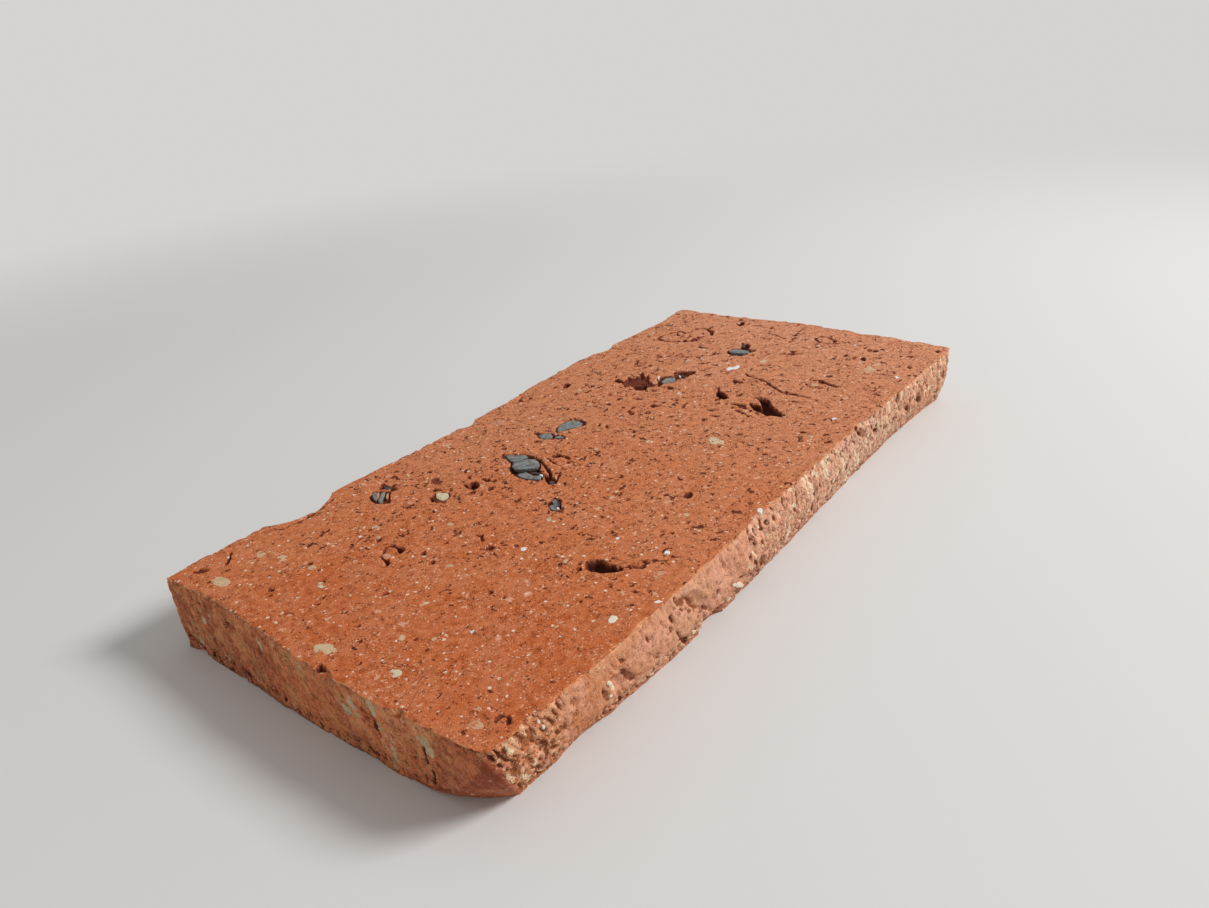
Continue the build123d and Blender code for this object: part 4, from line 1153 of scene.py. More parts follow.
def blendPale(tree, plain, share):
    # an even pale backdrop for what looks straight at it or sees it mirrored
    path = addNode(tree, "ShaderNodeLightPath", -700, 400)
    seen = mathNode(tree, "MAXIMUM", -500, 400, path.outputs["Is Camera Ray"], path.outputs["Is Glossy Ray"])
    seen = mathNode(tree, "MAXIMUM", -300, 400, seen, path.outputs["Is Transmission Ray"])
    if share is not None:
        seen = mathNode(tree, "MULTIPLY", -100, 300, seen, share)
    pale = addNode(tree, "ShaderNodeEmission", 0, -200)
    pale.inputs["Color"].default_value = (*studio["backdropColour"], 1)
    both = addNode(tree, "ShaderNodeMixShader", 300, 0)
    tree.links.new(seen, both.inputs[0])
    tree.links.new(plain, both.inputs[1])
    tree.links.new(pale.outputs[0], both.inputs[2])
    output = [node for node in tree.nodes if node.bl_idname.startswith("ShaderNodeOutput")][0]
    tree.links.new(both.outputs[0], output.inputs["Surface"])


def buildStudio():
    mesh = bpy.data.meshes.new("studio_floor")
    half = studio["floorHalf"]
    corners = [(-half, -half, 0), (half, -half, 0), (half, half, 0), (-half, half, 0)]
    mesh.from_pydata(corners, [], [(0, 1, 2, 3)])
    floor = bpy.data.objects.new("studio_floor", mesh)
    bpy.context.scene.collection.objects.link(floor)
    material = bpy.data.materials.new("studioFloor")
    material.use_nodes = True
    tree = material.node_tree
    shader = tree.nodes["Principled BSDF"]
    shader.inputs["Base Color"].default_value = (*studio["floorColour"], 1)
    shader.inputs["Roughness"].default_value = 0.9
    shader.inputs["Specular IOR Level"].default_value = 0.15
    coords = addNode(tree, "ShaderNodeTexCoord", -900, -200)
    far = vectorNode(tree, "LENGTH", -700, -200, coords.outputs["Object"])
    share = mapRange(tree, -500, -200, far, studio["backdropFrom"], studio["backdropTo"])
    blendPale(tree, shader.outputs[0], share)
    mesh.materials.append(material)

    world = bpy.data.worlds.new("studioWorld")
    bpy.context.scene.world = world
    world.use_nodes = True
    sky = world.node_tree.nodes["Background"]
    sky.inputs["Color"].default_value = (*studio["worldColour"], 1)
    sky.inputs["Strength"].default_value = studio["worldStrength"]
    blendPale(world.node_tree, sky.outputs[0], None)

    data = bpy.data.lights.new("keyLamp", "AREA")
    data.shape = "DISK"
    data.size = studio["keySize"]
    data.energy = studio["keyPower"]
    key = bpy.data.objects.new("keyLamp", data)
    bpy.context.scene.collection.objects.link(key)
    toLamp = Vector(studio["keyFrom"]).normalized()
    key.location = toLamp * studio["keyDistance"]
    key.rotation_euler = toLamp.to_track_quat("Z", "Y").to_euler()


buildStudio()
bpy.context.scene.view_settings.view_transform = "Standard"
print("studio built")


# Materials

def newGroup(name, ins, outs):
    group = bpy.data.node_groups.new(name, "ShaderNodeTree")
    for label, kind, value in ins:
        socket = group.interface.new_socket(label, in_out="INPUT", socket_type=kind)
        if value is not None:
            socket.default_value = value
    for label, kind in outs:
        group.interface.new_socket(label, in_out="OUTPUT", socket_type=kind)
    start = group.nodes.new("NodeGroupInput")
    start.location = (-900, 0)
    end = group.nodes.new("NodeGroupOutput")
    end.location = (700, 0)
    return group, start, end


numberSocket, colourSocket, vectorSocket = "NodeSocketFloat", "NodeSocketColor", "NodeSocketVector"


def mixColour(tree, x, y, factor, first, second):
    node = addNode(tree, "ShaderNodeMix", x, y, data_type="RGBA")
    for slot, value in ((0, factor), (6, first), (7, second)):
        feed(tree, node.inputs[slot], value)
    return node.outputs[2]


def noiseNode(tree, x, y, place, scale, detail=3.0, rough=0.5, output="Fac"):
    node = addNode(tree, "ShaderNodeTexNoise", x, y)
    for name, value in (("Vector", place), ("Scale", scale), ("Detail", detail), ("Roughness", rough)):
        feed(tree, node.inputs[name], value)
    return node.outputs[output]


def specksGroup():
    # scattered grains: one in each cell of a ragged net, of uneven size
    ins = [("Vector", vectorSocket, None), ("Spacing", numberSocket, 1.0), ("Size", numberSocket, 0.3),
           ("Spread", numberSocket, 0.6), ("Ragged", numberSocket, 0.3)]
    group, start, end = newGroup("scatteredGrains", ins, [("Mask", numberSocket), ("Tint", numberSocket)])
    grow = mathNode(group, "DIVIDE", -700, 200, 1.0, start.outputs["Spacing"])
    spot = vectorNode(group, "SCALE", -500, 100, start.outputs["Vector"], scale=grow)
    wobble = noiseNode(group, -500, -150, spot, 2.3, 2.0, output="Color")
    centred = vectorNode(group, "SUBTRACT", -320, -150, wobble, (0.5, 0.5, 0.5))
    scaled = vectorNode(group, "SCALE", -160, -150, centred, scale=start.outputs["Ragged"])
    cells = addNode(group, "ShaderNodeTexVoronoi", 150, 0)
    feed(group, cells.inputs["Scale"], 1.0)
    feed(group, cells.inputs["Vector"], vectorNode(group, "ADD", 0, 0, spot, scaled))
    parts = addNode(group, "ShaderNodeSeparateColor", 320, 150)
    feed(group, parts.inputs[0], cells.outputs["Color"])
    uneven = mathNode(group, "POWER", 480, 220, parts.outputs[0], 2.5)
    less = mathNode(group, "MULTIPLY", 480, 100, uneven, start.outputs["Spread"])
    keep = mathNode(group, "SUBTRACT", 480, -40, 1.0, start.outputs["Spread"])
    share = mathNode(group, "ADD", 520, 0, less, keep)
    size = mathNode(group, "MULTIPLY", 560, 0, share, start.outputs["Size"])
    inner = mathNode(group, "MULTIPLY", 580, -80, size, 0.7)
    feed(group, end.inputs["Mask"], mapRange(group, 600, 0, cells.outputs["Distance"], size, inner))
    feed(group, end.inputs["Tint"], parts.outputs[1])
    return group


def poresGroup():
    # ragged openings: the peaks of a noise, thicker in some places than in others
    ins = [("Vector", vectorSocket, None), ("Period", numberSocket, 1.0), ("Level", numberSocket, 0.64),
           ("Edge", numberSocket, 0.03), ("Patchy", numberSocket, 0.08), ("Shift", numberSocket, 0.0)]
    group, start, end = newGroup("raggedPores", ins, [("Mask", numberSocket)])
    grow = mathNode(group, "DIVIDE", -700, 200, 1.0, start.outputs["Period"])
    offset = addNode(group, "ShaderNodeCombineXYZ", -750, -100)
    for axis in "XY":
        feed(group, offset.inputs[axis], start.outputs["Shift"])
    moved = vectorNode(group, "ADD", -600, 0, start.outputs["Vector"], offset.outputs[0])
    fine = noiseNode(group, -400, 100, moved, grow, 2.0, 0.55)
    broad = noiseNode(group, -400, -150, moved, 0.12, 3.0)
    centred = mathNode(group, "SUBTRACT", -300, -150, broad, 0.5)
    lift = mathNode(group, "MULTIPLY", -200, -150, centred, start.outputs["Patchy"])
    both = mathNode(group, "ADD", 0, 0, fine, lift)
    upper = mathNode(group, "ADD", 0, -200, start.outputs["Level"], start.outputs["Edge"])
    feed(group, end.inputs["Mask"], mapRange(group, 300, 0, both, start.outputs["Level"], upper))
    return group


def grainGroup():
    # fine sandy grain: a height and a brightness that vary together
    ins = [("Vector", vectorSocket, None), ("Size", numberSocket, 0.35), ("Clumps", numberSocket, 2.5)]
    group, start, end = newGroup("sandyGrain", ins, [("Height", numberSocket), ("Light", numberSocket)])
    place = start.outputs["Vector"]
    grow = mathNode(group, "DIVIDE", -500, 150, 1.0, start.outputs["Size"])
    clump = mathNode(group, "DIVIDE", -500, -150, 1.0, start.outputs["Clumps"])
    part = mathNode(group, "MULTIPLY", -100, 150, noiseNode(group, -300, 150, place, grow, 3.0, 0.65), 0.6)
    rest = mathNode(group, "MULTIPLY", -100, -150, noiseNode(group, -300, -150, place, clump, 4.0), 0.4)
    both = mathNode(group, "ADD", 0, 0, part, rest)
    feed(group, end.inputs["Height"], both)
    feed(group, end.inputs["Light"], mapRange(group, 300, -100, both, 0.36, 0.64))
    return group


grains = specksGroup()
pores = poresGroup()
sandyGrain = grainGroup()


def placeGroup(tree, group, x, y, place, **values):
    node = addNode(tree, "ShaderNodeGroup", x, y, node_tree=group)
    feed(tree, node.inputs["Vector"], place)
    for name, value in values.items():
        feed(tree, node.inputs[name], value)
    return node


def newMaterial(name):
    material = bpy.data.materials.new(name)
    material.use_nodes = True
    tree = material.node_tree
    shader = tree.nodes["Principled BSDF"]
    shader.location = (1700, 0)
    tree.nodes["Material Output"].location = (2000, 0)
    coords = addNode(tree, "ShaderNodeTexCoord", -1800, 0)
    place = vectorNode(tree, "SCALE", -1600, 0, coords.outputs["Object"], scale=1 / mm)  # in mm
    return material, tree, shader, place


def stretched(tree, x, y, place, scale, turn=(0, 0, 0)):
    # a texture drawn out by these scales along turned axes
    node = addNode(tree, "ShaderNodeMapping", x, y, vector_type="TEXTURE")
    for name, value in (("Vector", place), ("Scale", scale), ("Rotation", turn)):
        feed(tree, node.inputs[name], value)
    return node.outputs[0]


def axesOf(tree, x, y, place):
    node = addNode(tree, "ShaderNodeSeparateXYZ", x, y)
    feed(tree, node.inputs[0], place)
    return node.outputs["X"], node.outputs["Y"], node.outputs["Z"]


def poreMask(tree, x, y, place, period, level, edge, patchy, shift):
    node = placeGroup(tree, pores, x, y, place, Period=period, Level=level, Edge=edge,
                      Patchy=patchy, Shift=shift)
    return node.outputs["Mask"]


def opposite(tree, x, y, mask, share=1.0):
    # what is left of 1 after a share of a mask
    if share != 1.0:
        mask = mathNode(tree, "MULTIPLY", x - 100, y, mask, share)
    return mathNode(tree, "SUBTRACT", x, y, 1.0, mask)


def bumpNode(tree, x, y, height, strength, distance):
    node = addNode(tree, "ShaderNodeBump", x, y)
    node.inputs["Strength"].default_value = strength
    node.inputs["Distance"].default_value = distance
    tree.links.new(height, node.inputs["Height"])
    return node.outputs["Normal"]


def attributeNode(tree, name, x, y):
    return addNode(tree, "ShaderNodeAttribute", x, y, attribute_name=name).outputs["Fac"]


def layered(tree, x, y, tone, mask, strength, over):
    # lay one colour over another through a mask
    factor = mathNode(tree, "MULTIPLY", x - 100, y - 180, mask, strength)
    return mixColour(tree, x, y, factor, tone, over)


def colourRamp(tree, x, y, value, stops):
    ramp = addNode(tree, "ShaderNodeValToRGB", x, y)
    tree.links.new(value, ramp.inputs["Fac"])
    elements = ramp.color_ramp.elements
    elements[0].position, elements[0].color = stops[0][0], (*stops[0][1], 1)
    elements[1].position, elements[1].color = stops[-1][0], (*stops[-1][1], 1)
    for position, shade in stops[1:-1]:
        elements.new(position).color = (*shade, 1)
    return ramp.outputs["Color"]


clayLook = {
    "sawn": [(0.0, (0.457, 0.076, 0.007)), (0.15, (0.468, 0.086, 0.010)), (0.3, (0.522, 0.130, 0.036)),
             (0.45, (0.530, 0.160, 0.062)), (0.6, (0.538, 0.190, 0.086)), (1.0, (0.602, 0.268, 0.156))],
    "upright": [(0.0, (0.54, 0.176, 0.070)), (0.12, (0.58, 0.218, 0.096)), (0.28, (0.72, 0.41, 0.275)),
                (0.37, (0.63, 0.34, 0.23)), (0.45, (0.77, 0.405, 0.28)), (0.56, (0.75, 0.42, 0.30)),
                (0.66, (0.88, 0.58, 0.45)), (0.72, (0.90, 0.60, 0.465)), (0.8, (0.86, 0.53, 0.395)),
                (0.88, (0.78, 0.43, 0.295)), (1.0, (0.74, 0.385, 0.250))],
    "uprightDark": (0.40, 0.130, 0.060),
    "uprightPink": (0.88, 0.490, 0.365),
    "uprightTan": (0.62, 0.350, 0.200),
    "near": [(0.0, (0.70, 0.205, 0.085)), (0.25, (0.73, 0.215, 0.087)), (0.36, (0.75, 0.188, 0.073)),
             (0.45, (0.88, 0.245, 0.090)), (0.54, (0.95, 0.275, 0.105)), (0.62, (0.74, 0.205, 0.080)),
             (0.68, (0.80, 0.240, 0.095)), (0.74, (0.98, 0.310, 0.118)), (0.80, (0.80, 0.220, 0.085)),
             (0.86, (0.66, 0.170, 0.064)), (1.0, (0.60, 0.150, 0.060))],
    "nearBare": [(0.0, (0, 0, 0)), (0.41, (0, 0, 0)), (0.50, (0.85, 0.85, 0.85)), (0.57, (0.85, 0.85, 0.85)),
                 (0.63, (0, 0, 0)), (0.69, (0, 0, 0)), (0.72, (1, 1, 1)), (0.77, (1, 1, 1)),
                 (0.82, (0, 0, 0)), (1.0, (0, 0, 0))],  # where its dark streaks thin out
    "nearDark": (0.40, 0.094, 0.038),
    "nearOrange": (0.90, 0.370, 0.165),
    "nearMaroon": (0.27, 0.054, 0.034),
    "ochre": (0.80, 0.400, 0.165),
    "olive": (0.46, 0.330, 0.160),
    "break": (0.25, 0.049, 0.026),
    "breakLight": (0.37, 0.092, 0.051),
    "patch": (0.55, 0.200, 0.100),
    "dusk": (0.32, 0.082, 0.034),
    "sandLight": (0.72, 0.29, 0.135),
    "sandDark": (0.26, 0.062, 0.020),
    # pits and cavities: painted shade, over the rougher unsawn clay inside the pits
    "pit": (0.080, 0.019, 0.011),
    "pitWall": (0.30, 0.074, 0.037),
    "cavity": (0.26, 0.080, 0.036),
    "coralCavity": (0.38, 0.130, 0.052),
    "nearCavity": (0.115, 0.028, 0.014),
    # painted shade in the crevices of the upright faces
    "crevice": (0.24, 0.064, 0.026),
    "paleCrevice": (0.42, 0.165, 0.090),
    # painted shade in the pores
    "pore": (0.13, 0.029, 0.013),
    "smallPore": (0.20, 0.048, 0.021),
    "palePink": (0.78, 0.44, 0.29),
    "paleGrain": (0.82, 0.64, 0.50),
    "cream": (0.88, 0.69, 0.46),
    "creamGreen": (0.52, 0.46, 0.28),
    # lighter clay on ridges and crumbs: wear and a painted highlight
    "raisedWearAndHighlight": (0.84, 0.51, 0.32),
    # upper arris: paler from wear, with a painted highlight
    "rim": (0.76, 0.36, 0.18),
    # lower arris: darkened with painted shade
    "lowRimShade": (0.46, 0.185, 0.095),
}


def sawnGroup():
    # the sawn clay: orange at the near end, pinker towards the far end, in cloudy patches
    group, start, end = newGroup("sawnClay", [("Vector", vectorSocket, None)], [("Colour", colourSocket)])
    place = start.outputs["Vector"]
    spotX, spotY = axesOf(group, -1400, 0, place)[:2]
    along = mapRange(group, -1200, 0, spotX, -128.0, 128.0, smooth=False)
    wander = mathNode(group, "SUBTRACT", -1150, -150, noiseNode(group, -1200, -150, place, 0.03, 3.0, 0.6), 0.5)
    shifted = mathNode(group, "ADD", -1000, 0, along, mathNode(group, "MULTIPLY", -1100, -150, wander, 0.5))
    leftward = mapRange(group, -1200, 200, spotY, 8.0, 50.0, 0.0, 0.17)
    leftward = mathNode(group, "MULTIPLY", -1100, 200, leftward,
                        mapRange(group, -1200, 300, spotX, 25.0, -35.0))
    shifted = mathNode(group, "ADD", -950, 50, shifted, leftward)
    tone = colourRamp(group, -800, 0, shifted, clayLook["sawn"])
    patches = mapRange(group, -600, -200, noiseNode(group, -800, -250, place, 0.10, 4.0, 0.62), 0.38, 0.68)
    tone = layered(group, -500, 0, tone, patches, 0.4, clayLook["patch"])
    dusk = mapRange(group, -600, -400, noiseNode(group, -800, -400, place, 0.24, 5.0, 0.68), 0.48, 0.7)
    tone = layered(group, -400, 0, tone, dusk, 0.45, clayLook["dusk"])
    group.links.new(tone, end.inputs["Colour"])
    return group


sawnClay = sawnGroup()


def crisp(tree, x, y, mask, fine, spread=0.7, low=0.38, high=0.6):
    # a soft mask made ragged and sharp by a fine noise
    centred = mathNode(tree, "SUBTRACT", x - 100, y - 100, fine, 0.5)
    ragged = mathNode(tree, "MULTIPLY", x, y - 100, centred, spread)
    return mapRange(tree, x + 200, y, mathNode(tree, "ADD", x + 100, y, mask, ragged), low, high)


def firedClay():
    material, tree, shader, place = newMaterial("firedClay")
    links = tree.links
    spotX, spotY, spotZ = axesOf(tree, -1400, 0, place)
    along = mapRange(tree, -1200, 0, spotX, -128.0, 128.0, smooth=False)
    fine = noiseNode(tree, -1200, -300, place, 1.9, 4.0, 0.7)

    # nothing of the upright faces runs onto the flat sawn ones
    belowTop = mapRange(tree, -1400, 200, spotZ, 21.94, 21.90)
    aboveBed = mapRange(tree, -1400, 300, spotZ, 0.02, 0.06)
    between = mathNode(tree, "MULTIPLY", -1350, 250, belowTop, aboveBed)
    worn = []
    for step, name in enumerate(("side", "hollow", "cream", "ridge", "rim", "broken")):
        value = attributeNode(tree, name, -1500, 560 + 140 * step)
        worn.append(mathNode(tree, "MULTIPLY", -1300, 560 + 140 * step, value, between))
    side, hollow, cream, raisedWearAndHighlight, rim, broken = worn
    facet = attributeNode(tree, "facet", -1500, 420)
    blotch = noiseNode(tree, -1200, -100, place, 0.17, 4.0, 0.62)

    # upright faces: drag marks, paler towards the far end, browner at the near end
    drawn = stretched(tree, -1200, -500, place, (1.0, 1.0, 5.0), (-0.31, -0.49, 0.0))
    streak = mapRange(tree, -700, -450, noiseNode(tree, -1000, -500, drawn, 0.8, 4.0, 0.65), 0.34, 0.66)
    upright = colourRamp(tree, -800, -300, along, clayLook["upright"])
    upright = layered(tree, -500, -400, upright, opposite(tree, -650, -500, streak), 0.4,
                      clayLook["uprightDark"])
    mood = noiseNode(tree, -1200, -900, drawn, 0.16, 4.0, 0.6)
    upright = layered(tree, -450, -400, upright, mapRange(tree, -600, -550, mood, 0.50, 0.60), 0.4,
                      clayLook["uprightPink"])
    upright = layered(tree, -400, -400, upright, mapRange(tree, -600, -600, mood, 0.48, 0.38), 0.4,
                      clayLook["uprightTan"])
    endward = mapRange(tree, -500, -700, spotX, -118.0, -123.0)
    across = mapRange(tree, -900, -700, spotY, 60.0, -60.0, smooth=False)
    browns = colourRamp(tree, -700, -750, across, clayLook["near"])
    bare = colourRamp(tree, -700, -950, across, clayLook["nearBare"])
    mostBare = mathNode(tree, "MULTIPLY", -600, -1000, bare, 0.75)
    bareStreak = mathNode(tree, "MAXIMUM", -500, -950, streak, mostBare)
    browns = mixColour(tree, -400, -600, bareStreak, clayLook["nearDark"], browns)
    browns = layered(tree, -300, -600, browns, mapRange(tree, -600, -650, blotch, 0.50, 0.64), 0.75,
                     clayLook["ochre"])
    browns = layered(tree, -200, -600, browns, mapRange(tree, -600, -700, blotch, 0.60, 0.68), 0.5,
                     clayLook["olive"])
    browns = layered(tree, -250, -700, browns, mapRange(tree, -600, -800, mood, 0.52, 0.60), 0.65,
                     clayLook["nearOrange"])
    maroon = mathNode(tree, "MULTIPLY", -400, -900, mapRange(tree, -600, -900, mood, 0.48, 0.38),
                      opposite(tree, -500, -1050, bare))
    browns = layered(tree, -150, -700, browns, maroon, 0.6, clayLook["nearMaroon"])
    upright = mixColour(tree, -100, -400, endward, upright, browns)
    sawn = placeGroup(tree, sawnClay, -300, 100, place)
    tone = mixColour(tree, -100, 0, side, sawn.outputs["Colour"], upright)
    breakTone = mixColour(tree, -200, -650, mapRange(tree, -300, -750, blotch, 0.4, 0.62),
                          clayLook["break"], clayLook["breakLight"])
    tone = mixColour(tree, 0, 0, broken, tone, breakTone)

    # sandy light and dark
    grain = placeGroup(tree, sandyGrain, -1000, -800, place, Size=0.3, Clumps=2.2)
    calm = opposite(tree, -300, 250, broken, 0.7)
    light = mathNode(tree, "MULTIPLY", -100, -750, grain.outputs["Light"], calm)
    tone = layered(tree, 100, 0, tone, light, 0.5, clayLook["sandLight"])
    shade = mapRange(tree, 0, -800, grain.outputs["Light"], 0.42, 0.0)
    tone = layered(tree, 200, 0, tone, shade, 0.68, clayLook["sandDark"])

    # crevices and crumbs drawn down the upright faces: painted shade in the crevices, painted highlight on the
    # crumbs
    roughest = mathNode(tree, "SUBTRACT", -400, 550, calm, mathNode(tree, "MULTIPLY", -500, 500, facet, 0.78))
    rough = mathNode(tree, "MULTIPLY", -300, 600, side, roughest)
    rarer = mapRange(tree, -1100, -2400, facet, 0.0, 1.0, 0.555, 0.61, smooth=False)
    crevices = poreMask(tree, -900, -2500, drawn, 1.1, rarer, 0.07, 0.2, 3.0)
    crumbs = poreMask(tree, -900, -2700, drawn, 0.8, 0.575, 0.05, 0.2, 29.0)
    crevice = mathNode(tree, "MULTIPLY", 200, -2500, crevices, rough)
    crumbly = mathNode(tree, "MULTIPLY", 200, -2700, crumbs, rough)
    # painted highlight on the raised crumbs, weaker on the near end, which lies in shade
    crumbHighlight = mathNode(tree, "MULTIPLY", 250, -2800, crumbly, opposite(tree, 200, -2850, endward, 0.65))
    tone = layered(tree, 230, 0, tone, crumbHighlight, 0.6, clayLook["raisedWearAndHighlight"])
    # painted shade in the crevices
    creviceTone = mixColour(tree, 200, -300, mapRange(tree, 100, -350, spotX, -100.0, -60.0),
                            clayLook["crevice"], clayLook["paleCrevice"])
    tone = layered(tree, 260, 0, tone, crevice, 0.7, creviceTone)

    # pale grains, then pores painted dark with the shade in them: fewer in the dense near right part and on the
    # upright faces
    lean = mathNode(tree, "ADD", -1150, 1300, spotX, mathNode(tree, "MULTIPLY", -1250, 1300, spotY, 0.4))
    openness = mapRange(tree, -1000, 1300, lean, -112.0, -40.0)
    level = mapRange(tree, -1200, -1100, openness, 0.0, 1.0, 0.70, 0.655, smooth=False)
    smallLevel = mapRange(tree, -1200, -1350, openness, 0.0, 1.0, 0.648, 0.625, smooth=False)
    fleck = placeGroup(tree, grains, -1000, -1850, place, Spacing=0.8, Size=0.3, Spread=0.8, Ragged=0.5)
    pale = placeGroup(tree, grains, -1000, -1600, place, Spacing=1.6, Size=0.34, Spread=0.95, Ragged=0.6)
    lump = placeGroup(tree, grains, -1000, -2250, place, Spacing=4.2, Size=0.26, Spread=0.96, Ragged=0.9)
    crumb = poreMask(tree, -1000, -2050, place, 0.75, 0.645, 0.035, 0.14, 71.0)
    large = poreMask(tree, -1000, -1100, place, 2.1, level, 0.02, 0.22, 13.0)
    small = poreMask(tree, -1000, -1350, place, 0.8, smallLevel, 0.03, 0.18, 37.0)
    onSawn = opposite(tree, -300, 450, side, 0.65)
    masks = {}
    for step, (name, mask, strength, look) in enumerate([
            ("crumb", crumb, 0.8, "palePink"), ("lump", lump.outputs["Mask"], 0.6, "palePink"),
            ("fleck", fleck.outputs["Mask"], 0.75, "palePink"),
            ("pale", pale.outputs["Mask"], 0.9, "paleGrain"),
            ("small", small, 0.95, "smallPore"), ("large", large, 1.0, "pore")]):
        masks[name] = mathNode(tree, "MULTIPLY", 200, -1200 - 100 * step, mask, onSawn)
        tone = layered(tree, 300 + 100 * step, 0, tone, masks[name], strength, clayLook[look])

    # ridges lightened by wear and a painted highlight, arrises paler from rubbing with a painted highlight on
    # the upper arris and painted shade on the lower one, cream mortar that is greenish in places
    sunlit = mapRange(tree, 600, -600, grain.outputs["Light"], 0.0, 0.6, 0.35, 1.0)
    # painted highlight on the ridges, weaker on the near end, which lies in shade
    ridge = mathNode(tree, "MULTIPLY", 650, -450, raisedWearAndHighlight, opposite(tree, 600, -400, endward, 0.75))
    ridge = mathNode(tree, "MULTIPLY", 700, -450, ridge, sunlit)
    tone = layered(tree, 900, 0, tone, ridge, 0.8, clayLook["raisedWearAndHighlight"])
    # rubbed arrises: painted highlight on the upper arris, painted shade on the lower one
    rimHighlightAndShade = mixColour(tree, 800, -550, mapRange(tree, 700, -550, spotZ, 8.0, 14.0),
                        clayLook["lowRimShade"], clayLook["rim"])
    rimMask = crisp(tree, 600, -500, rim, fine)
    tone = mixColour(tree, 1000, 0, mathNode(tree, "MULTIPLY", 900, -500, rimMask, 0.5), tone, rimHighlightAndShade)
    green = mapRange(tree, 700, -700, blotch, 0.42, 0.58)
    green = mathNode(tree, "MAXIMUM", 800, -750, mathNode(tree, "MULTIPLY", 750, -700, green, 0.2),
                     mathNode(tree, "MULTIPLY", 750, -800, endward, 0.7))
    mortar = mixColour(tree, 850, -700, green, clayLook["cream"], clayLook["creamGreen"])
    creamMask = mathNode(tree, "MULTIPLY", 850, -900, crisp(tree, 600, -950, cream, fine, 0.9), sunlit)
    tone = mixColour(tree, 1100, 0, creamMask, tone, mortar)

    # inside pits, and the shallower cavities of the upright faces: painted shade, darkest deep in the pits,
    # over their rougher unsawn clay
    shallow = mathNode(tree, "MAXIMUM", 750, -250, mapRange(tree, 650, -200, spotZ, 19.8, 21.5),
                       mapRange(tree, 650, -300, spotZ, 2.2, 0.5))
    shallow = mathNode(tree, "MULTIPLY", 850, -250, shallow, mapRange(tree, 750, -350, fine, 0.38, 0.58))
    inPit = mixColour(tree, 1000, -300, shallow, clayLook["pit"], clayLook["pitWall"])
    coralward = mapRange(tree, 900, -450, spotX, -90.0, -104.0)
    cavity = mixColour(tree, 1000, -400, coralward, clayLook["cavity"], clayLook["coralCavity"])
    cavity = mixColour(tree, 1050, -400, endward, cavity, clayLook["nearCavity"])
    inPit = mixColour(tree, 1150, -300, side, inPit, cavity)
    tone = mixColour(tree, 1300, 0, crisp(tree, 900, -1000, hollow, fine, 0.6, 0.3, 0.7), tone, inPit)
    links.new(tone, shader.inputs["Base Color"])

    # the bump: grain and crumbs stand up, pores and crevices go down
    sunk = mathNode(tree, "ADD", 800, -1000, masks["large"],
                    mathNode(tree, "MULTIPLY", 700, -1050, masks["small"], 0.6))
    sunk = mathNode(tree, "ADD", 850, -1050, sunk, mathNode(tree, "MULTIPLY", 750, -1100, crevice, 1.2))
    sandy = mathNode(tree, "MULTIPLY", 700, -850, grain.outputs["Height"], 0.8)
    raised = mathNode(tree, "ADD", 800, -850, sandy, mathNode(tree, "MULTIPLY", 700, -800, crumbly, 0.7))
    height = mathNode(tree, "SUBTRACT", 900, -900, raised, sunk)
    links.new(bumpNode(tree, 1300, -700, height, 1.0, 0.0004), shader.inputs["Normal"])
    shader.inputs["Roughness"].default_value = 0.94
    shader.inputs["Specular IOR Level"].default_value = 0.12
    return material


